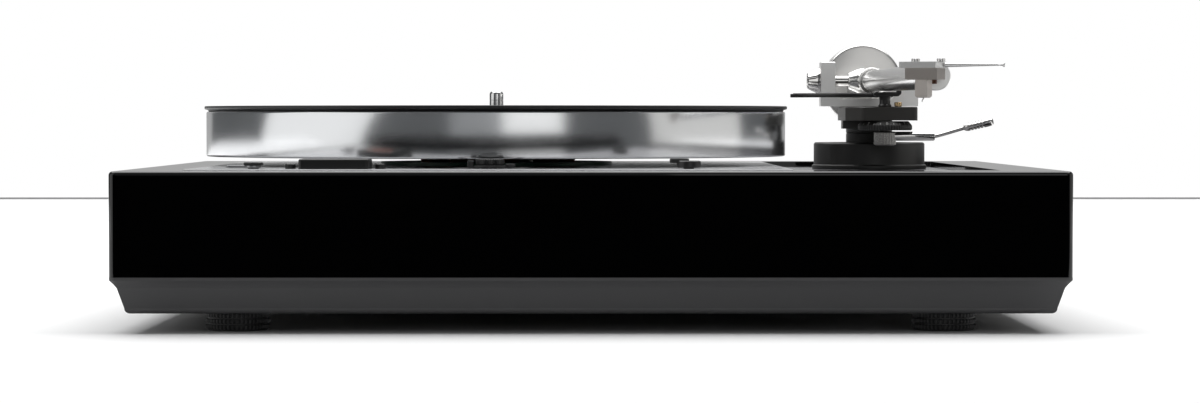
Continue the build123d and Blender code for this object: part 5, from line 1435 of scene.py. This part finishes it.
@dataclass
class Wand:
    """What tilts in the yoke: hub, tube, headshell, cartridge, leads and counterweight."""

    yaw: float = math.radians(3.87)
    offset: float = math.radians(23.0)
    length: float = 214.8 * MM
    axis_height: float = 119.7 * MM
    pivot: np.ndarray = field(default_factory=lambda: np.zeros(3))

    def build(self) -> None:
        """Makes the wand from its counterweight to the stylus."""
        column = Extent.of("arm_column").centre
        self.pivot = np.array((column.x, column.y, self.axis_height))
        self.way = np.array((math.sin(self.yaw), -math.cos(self.yaw), 0.0))
        self.collar = self.pivot + self.way * self.length
        self.ahead = np.array((-math.sin(self.offset), -math.cos(self.offset), 0.0))
        self.right = np.array((-self.ahead[1], self.ahead[0], 0.0))
        self.hub()
        self.tube()
        self.balance()
        self.headshell()
        self.cartridge()
        self.pins()
        self.finger()

    def local(self, right: float, ahead: float, height: float) -> np.ndarray:
        """A place on the headshell, from millimetres right, ahead and up from the floor."""
        flat = self.collar + self.right * right * MM + self.ahead * ahead * MM
        return np.array((flat[0], flat[1], height * MM))

    def hub(self) -> None:
        """Makes the hub: two cones to the pivots, a flared collar and a rear boss."""
        across = Seat(tuple(self.pivot), (1.0, 0.0, 0.0), (0.0, 0.0, 1.0))
        rows = [(3.0, -11.4), (4.2, -11.4), (4.5, -11.1), (7.0, -5.5), (7.0, 5.5), (4.5, 11.1), (4.2, 11.4),
                (3.0, 11.4), (3.0, 7.6), (0.0, 7.6)]
        closed = rounded(profile((0.0, -7.6), (3.0, -7.6), *rows),
                         [0] * 4 + [0.15 * MM, 1.6 * MM, 1.6 * MM] + [0.15 * MM] + [0] * 4, 5)
        cones = turned(closed, across, 72)
        along = Seat(tuple(self.pivot), tuple(self.way), (0.0, 0.0, 1.0))
        collar = turned(rounded(profile((5.8, 0.0), (7.2, 0.0), (7.2, 10.4), (6.9, 11.0), (5.8, 11.0)),
                                0.2 * MM, 3,
                                closed=True), along, 72, ring=True)
        rear = Seat(tuple(self.pivot), (0.0, 1.0, 0.0), (0.0, 0.0, 1.0))
        boss = turned(rounded(profile((5.0, 0.0), (6.4, 0.0), (6.4, 8.4), (5.9, 9.0), (5.0, 9.0)), 0.2 * MM,
                              3,
                              closed=True), rear, 64, ring=True)
        piece_from("wand_hub_turned", cones + collar + boss, TUBE_ALLOY, "wand_hub")

    def tube(self) -> None:
        """Makes the tube, which widens gently to the front, with a fine line near each end."""
        along = Seat(tuple(self.pivot), tuple(self.way), (0.0, 0.0, 1.0))
        length = self.length / MM
        rows = [(4.75, 7.0), (5.75, 7.0), (5.75, 11.4), (5.79, 17.0), (5.74, 17.3), (5.79, 17.6)]
        grow = np.linspace(20.0, length - 12.0, 14)
        rows += [(5.8 + 0.6 * (s - 20.0) / (length - 32.0), s) for s in grow]
        rows += [(6.43, length - 1.0), (6.4, length - 0.05), (5.5, length), (5.4, length - 40.0),
                 (4.75, 40.0)]
        piece_from("wand_tube", turned(profile(*rows), along, 96, ring=True), TUBE_ALLOY, "arm_tube")

    def balance(self) -> None:
        """Makes the rear shaft with fine thread lines, and the counterweight with its knurled rim."""
        shaft = Extent.of("weight_shaft")
        x, z = shaft.centre.x, shaft.centre.z
        low, high = shaft.low.y, shaft.high.y
        seat = Seat((x, low, z), (0.0, 1.0, 0.0), (0.0, 0.0, 1.0))
        span = (high - low) / MM
        pitch = np.arange(14.0, span - 2.0, 0.5)
        thread = np.stack([np.where(np.arange(len(pitch)) % 2, 5.0, 4.72), pitch], axis=1)
        rows = np.vstack([[(0.0, 0.0), (4.9, 0.0), (5.0, 0.3), (5.0, 13.6)], thread,
                          [(5.0, span - 1.5), (4.9, span - 0.4), (4.4, span), (0.0, span)]]) * MM
        piece_from("weight_shaft_threaded", turned(rows, seat, 56), ARM_ALLOY, "weight_shaft")
        weight = Extent.of("counterweight")
        radius, depth = weight.size.z / 2 / MM, weight.size.y / MM
        seat = Seat((weight.centre.x, weight.low.y, weight.centre.z), (0.0, 1.0, 0.0), (0.0, 0.0, 1.0))
        bore = 6.4
        rows = [(bore, 0.3), (8.6, 0.3), (8.9, 0.0), (radius - 1.6, 0.0), (radius - 0.5, 0.3),
                (radius, 1.1),
                (radius, 5.0), (radius - 0.35, 5.3), (radius - 0.35, 5.8), (radius, 6.1), (radius, 16.0),
                (radius - 0.35, 16.3), (radius - 0.35, 16.8), (radius, 17.1), (radius, depth - 1.0),
                (radius - 1.0, depth), (bore, depth)]
        teeth = knurl(96, 0.012, 6.2 * MM, 15.9 * MM)
        drum = turned(profile(*rows), seat, 768, ring=True, ripple=teeth)
        bush_seat = Seat((x, weight.low.y, z), (0.0, 1.0, 0.0), (0.0, 0.0, 1.0))
        bush = turned(rounded(profile((5.06, 0.5), (8.2, 0.5), (8.2, depth - 0.4), (5.06, depth - 0.4)),
                              0.2 * MM, 3,
                              closed=True), bush_seat, 56, ring=True)
        piece_from("counterweight_knurled", drum, WEIGHT, "counterweight")
        piece_from("counterweight_bush", bush, KNOB, "counterweight")

    def headshell(self) -> None:
        """Makes the headshell with its neck and collar, and the cartridge's screws."""
        eased_copy("headshell", ARM_ALLOY, 0.25 * MM, "headshell_milled")
        screws = Extent.of("cartridge_screws")
        shells = None
        for side in (-6.35, 6.35):
            place = self.local(side, 10.5, 126.3)
            seat = Seat(tuple(place), (0.0, 0.0, 1.0), tuple(self.right))
            head = slotted_head(2.0 * MM, screws.high.z - place[2], 0.55 * MM, seat)
            length = (place[2] - screws.low.z) / MM
            lines = np.arange(0.2, length - 0.3, 0.25)
            thread = np.stack([np.where(np.arange(len(lines)) % 2, 1.2, 1.05), -length + lines], axis=1)
            rows = np.vstack([[(0.0, -length), (1.0, -length)], thread, [(1.2, 0.1), (0.0, 0.1)]]) * MM
            screw = head + turned(rows, seat, 24)
            shells = screw if shells is None else shells + screw
        piece_from("cartridge_slotted_screws", shells, CHROME, "cartridge_screws")

    def cartridge(self) -> None:
        """Makes the cartridge's body, the stylus holder with its grip, and the cantilever."""
        eased_copy("cartridge_body", CHAMPAGNE, 0.35 * MM, "cartridge_case")
        eased_copy("stylus_holder", STYLUS, 0.3 * MM, "stylus_holder_moulded")
        holder, tip = Extent.of("stylus_holder"), Extent.of("cantilever")
        root = self.local(0.0, 16.6, holder.low.z / MM + 0.35)
        end = self.local(0.0, 20.0, tip.low.z / MM + 0.75)
        line = np.linspace(root, end, 8)
        tube = swept(line, np.linspace(0.34, 0.22, 8) * MM, 14)
        needle = Seat(tuple(self.local(0.0, 20.0, tip.low.z / MM)), (0.0, 0.0, 1.0))
        rows = [(0.0, 0.0), (0.05, 0.02), (0.24, 0.45), (0.26, 0.95), (0.0, 1.0)]
        piece_from("cantilever_needle", tube + turned(profile(*rows), needle, 16), ZINC, "cantilever")

    def pins(self) -> None:
        """Makes the pin board, four pins and four coloured clips with leads into the tube."""
        eased_copy("pin_board", PIN_BOARD, 0.15 * MM, "pin_board_fibre")
        colours = {"white": (-2.4, 121.4), "red": (2.4, 121.4), "blue": (-2.4, 118.4),
                   "green": (2.4, 118.4)}
        pins = None
        for name, (side, height) in colours.items():
            start = self.local(side, 10.9, height)
            back = tuple(-self.ahead)
            seat = Seat(tuple(start), back, (0.0, 0.0, 1.0))
            pin = turned(rounded(profile((0, 0), (0.45, 0), (0.45, 2.6), (0.3, 3.0), (0, 3.0)), 0.08 * MM,
                                 2), seat, 16)
            pins = pin if pins is None else pins + pin
            clip = turned(rounded(profile((0.5, 0.5), (0.85, 0.5), (0.95, 0.9), (0.95, 3.4), (0.6, 4.0),
                                          (0.3, 4.2),
                                          (0.3, 3.6), (0.5, 3.2)), 0.1 * MM, 2, closed=True), seat, 24,
                                          ring=True)
            middle = self.local(side * 0.75, 5.4, height + 0.4)
            rise = np.array((0, 0, (height - 119.9) * MM))
            entry = self.collar + self.way * 5.2 * MM + self.right * side * 0.5 * MM + rise
            lead = swept(bent([self.local(side, 7.2, height), self.local(side * 0.95, 6.4, height + 0.1),
                               middle,
                               entry], 6), 0.3 * MM, 10)
            piece_from(f"clip_{name}", clip + lead, LEADS[name], "pin_board")
        piece_from("cartridge_pins", pins, BRASS, "pin_board")

    def finger(self) -> None:
        """Makes the finger lift: a thin tapering rod with a small disc at its tip."""
        extent = Extent.of("finger_lift")
        start = self.local(8.6, 14.0, 124.9)
        end = np.array((196.0 * MM, start[1] - 6.0 * MM, 124.9 * MM))
        line = end - start
        reach = float(np.linalg.norm(line))
        seat = Seat(tuple(start), tuple(line / reach), (0.0, 0.0, 1.0))
        first = 0.8 * MM
        rows = [(0.0, first), (1.15 * MM, first), (1.0 * MM, reach * 0.25), (0.78 * MM, reach * 0.5),
                (0.58 * MM, reach * 0.8), (0.5 * MM, reach - 0.9 * MM), (0.85 * MM, reach - 0.2 * MM),
                (1.1 * MM, reach + 0.1 * MM), (1.1 * MM, reach + 0.5 * MM), (0.9 * MM, reach + 0.6 * MM),
                (0.0, reach + 0.6 * MM)]
        piece_from("finger_lift_rod", turned(np.array(rows), seat, 36), ARM_ALLOY, "finger_lift")
        log.info("finger lift ends at %.1f mm", extent.high.x / MM)


# ---------------------------------------------------------------- studio


@dataclass
class Studio:
    """A pale floor and backdrop, soft lights, a camera and a quiet world."""

    softbox_distance: float = 1.5
    softbox_height: float = 0.42
    left_azimuth: float = 69.3
    left_size: tuple[float, float] = (1.355, 1.3)
    left_radiance: float = 0.86
    right_azimuth: float = -84.0
    right_size: tuple[float, float] = (0.95, 1.3)
    right_radiance: float = 0.575
    overhead_size: tuple[float, float] = (3.0, 3.2)
    overhead_radiance: float = 3.0
    overhead_place: Point = (0.0, 1.0, 1.8)
    room_strength: float = 0.11
    backdrop_strength: float = 0.42
    dim_fill_strength: float = 0.30
    arm_fill_strength: float = 1.0
    lens: float = 104.4
    camera_place: Point = (0.0, -1.8, 0.0991)
    camera_pitch: float = 1.358
    camera_yaw: float = 0.148

    def build(self) -> None:
        """Makes the studio and sets the scene's camera."""
        bpy.context.scene.view_settings.view_transform = "Standard"
        self.world()
        self.floor()
        self.backdrop()
        self.softbox("left_softbox", self.left_azimuth, self.left_size, self.left_radiance,
                     (1.0, 1.0, 0.99))
        self.softbox("right_softbox", self.right_azimuth, self.right_size, self.right_radiance,
                     (1.0, 0.985, 0.95))
        self.overhead()
        self.camera_fill()
        self.camera()

    def emission(self, name: str, colour: tuple[float, float, float],
                 strength: float) -> bpy.types.Material:
        """Makes a glowing material for a studio card."""
        material = bpy.data.materials.new(name)
        material.use_nodes = True
        tree = material.node_tree
        tree.nodes.clear()
        glow = tree.nodes.new("ShaderNodeEmission")
        glow.inputs["Color"].default_value = (*colour, 1.0)
        glow.inputs["Strength"].default_value = strength
        output = tree.nodes.new("ShaderNodeOutputMaterial")
        tree.links.new(glow.outputs[0], output.inputs["Surface"])
        return material

    def card(self, name: str, corners: Sequence[Point], material: bpy.types.Material,
             seen: bool = False) -> bpy.types.Object:
        """Makes a flat four-cornered card that isn't part of the object.

        Args:
            name: Its name.
            corners: Its corners in order.
            material: Its material.
            seen: Whether the camera sees it, and not only its light and reflection.

        Returns:
            The card.
        """
        mesh = bpy.data.meshes.new(name)
        mesh.from_pydata([Vector(c) for c in corners], [], [(0, 1, 2, 3)])
        mesh.materials.append(material)
        card = bpy.data.objects.new(name, mesh)
        bpy.context.scene.collection.objects.link(card)
        card.visible_camera = seen
        return card

    def screen(self, name: str, start: float, end: float, y: float, low: float, high: float,
               material: bpy.types.Material) -> None:
        """Makes an upright card across the scene.

        Args:
            name: Its name.
            start: X of the side where its outline begins.
            end: X of its other side.
            y: How far back it stands.
            low: Height of its lower edge.
            high: Height of its upper edge.
            material: Its material.
        """
        self.card(name, [(start, y, low), (end, y, low), (end, y, high), (start, y, high)], material)

    def world(self) -> None:
        """Makes the world: white where the camera looks past everything, dim elsewhere."""
        world = bpy.data.worlds.new("studio_room")
        bpy.context.scene.world = world
        world.use_nodes = True
        tree = world.node_tree
        tree.nodes.clear()
        path = tree.nodes.new("ShaderNodeLightPath")
        mix = tree.nodes.new("ShaderNodeMixShader")
        dim = tree.nodes.new("ShaderNodeBackground")
        dim.inputs["Color"].default_value = (0.94, 0.97, 1.0, 1.0)
        dim.inputs["Strength"].default_value = self.room_strength
        seen = tree.nodes.new("ShaderNodeBackground")
        seen.inputs["Color"].default_value = (1.0, 1.0, 1.0, 1.0)
        seen.inputs["Strength"].default_value = 1.0
        output = tree.nodes.new("ShaderNodeOutputWorld")
        tree.links.new(path.outputs["Is Camera Ray"], mix.inputs[0])
        tree.links.new(dim.outputs[0], mix.inputs[1])
        tree.links.new(seen.outputs[0], mix.inputs[2])
        tree.links.new(mix.outputs[0], output.inputs["Surface"])

    def floor(self) -> None:
        """Makes a plain pale floor under and behind the player."""
        recipe = Recipe("studio_floor_pale")
        recipe.shader.inputs["Base Color"].default_value = (0.93, 0.93, 0.93, 1.0)
        recipe.shader.inputs["Roughness"].default_value = 0.9
        recipe.shader.inputs["Specular IOR Level"].default_value = 0.1
        corners = [(-2.6, -0.6, 0.0), (2.6, -0.6, 0.0), (2.6, 2.6, 0.0), (-2.6, 2.6, 0.0)]
        self.card("studio_floor", corners, recipe.material, seen=True)

    def backdrop(self) -> None:
        """Makes the pale card behind and the black card low in front, both for reflections."""
        white = self.emission("backdrop_white", (1.0, 1.0, 1.0), self.backdrop_strength)
        self.screen("studio_backdrop", 1.6, -1.6, 2.5, -0.05, 1.6, white)
        black = self.emission("front_card_black", (0.0, 0.0, 0.0), 0.0)
        self.screen("studio_front_card", -2.4, 2.4, -2.1, -1.2, 0.058, black)

    def softbox(self, name: str, azimuth: float, size: tuple[float, float], radiance: float,
                colour: tuple[float, float, float]) -> None:
        """Makes a softbox that faces the player.

        Args:
            name: Its name.
            azimuth: Degrees to the left of the front.
            size: Width and height in metres.
            radiance: Its brightness.
            colour: Its colour.
        """
        light = bpy.data.lights.new(name, "AREA")
        light.shape = "RECTANGLE"
        light.size, light.size_y = size
        light.energy = radiance * math.pi * size[0] * size[1]
        light.color = colour
        lamp = bpy.data.objects.new(name, light)
        bpy.context.scene.collection.objects.link(lamp)
        turn = math.radians(azimuth)
        middle = Vector((PLATTER.centre.x, PLATTER.centre.y, self.softbox_height))
        lamp.location = (middle.x - self.softbox_distance * math.sin(turn),
                         middle.y - self.softbox_distance * math.cos(turn), self.softbox_height)
        aim = middle - lamp.location
        lamp.rotation_euler = aim.to_track_quat("-Z", "Z").to_euler()

    def overhead(self) -> None:
        """Makes the wide softbox above."""
        light = bpy.data.lights.new("overhead_softbox", "AREA")
        light.shape = "RECTANGLE"
        light.size, light.size_y = self.overhead_size
        light.energy = self.overhead_radiance * math.pi * self.overhead_size[0] * self.overhead_size[1]
        lamp = bpy.data.objects.new("overhead_softbox", light)
        bpy.context.scene.collection.objects.link(lamp)
        lamp.location = self.overhead_place

    def camera_fill(self) -> None:
        """Makes the dim card in front that the rim reflects and the bright one that the arm does."""
        glow = self.emission("front_card_dim", (0.96, 0.98, 1.0), self.dim_fill_strength)
        self.screen("studio_front_fill", -0.62, 0.52, -2.0, 0.064, 0.9, glow)
        bright = self.emission("arm_card_bright", (1.0, 1.0, 0.99), self.arm_fill_strength)
        self.screen("studio_arm_fill", 0.08, 0.95, -1.98, 0.113, 1.0, bright)

    def camera(self) -> None:
        """Makes the camera: level with the platter, a long lens, looking slightly down."""
        lens = bpy.data.cameras.new("studio_camera")
        lens.sensor_width = 36.0
        lens.lens = self.lens
        lens.clip_start = 0.05
        camera = bpy.data.objects.new("studio_camera", lens)
        bpy.context.scene.collection.objects.link(camera)
        camera.location = self.camera_place
        aim = Vector((math.sin(math.radians(self.camera_yaw)), 1.0,
                      -math.tan(math.radians(self.camera_pitch))))
        camera.rotation_euler = aim.to_track_quat("-Z", "Y").to_euler()
        bpy.context.scene.camera = camera


def main() -> None:
    """Builds the looks of the whole player."""
    logging.basicConfig(level=logging.INFO, format="%(name)s: %(message)s")
    for part in (Plinth(), Chassis(), Sockets(), Platter(), Controls(), ArmPillar(), Yoke(), Wand(),
                 Studio()):
        part.build()
    bpy.context.view_layer.update()


if __name__ == "__main__":
    main()
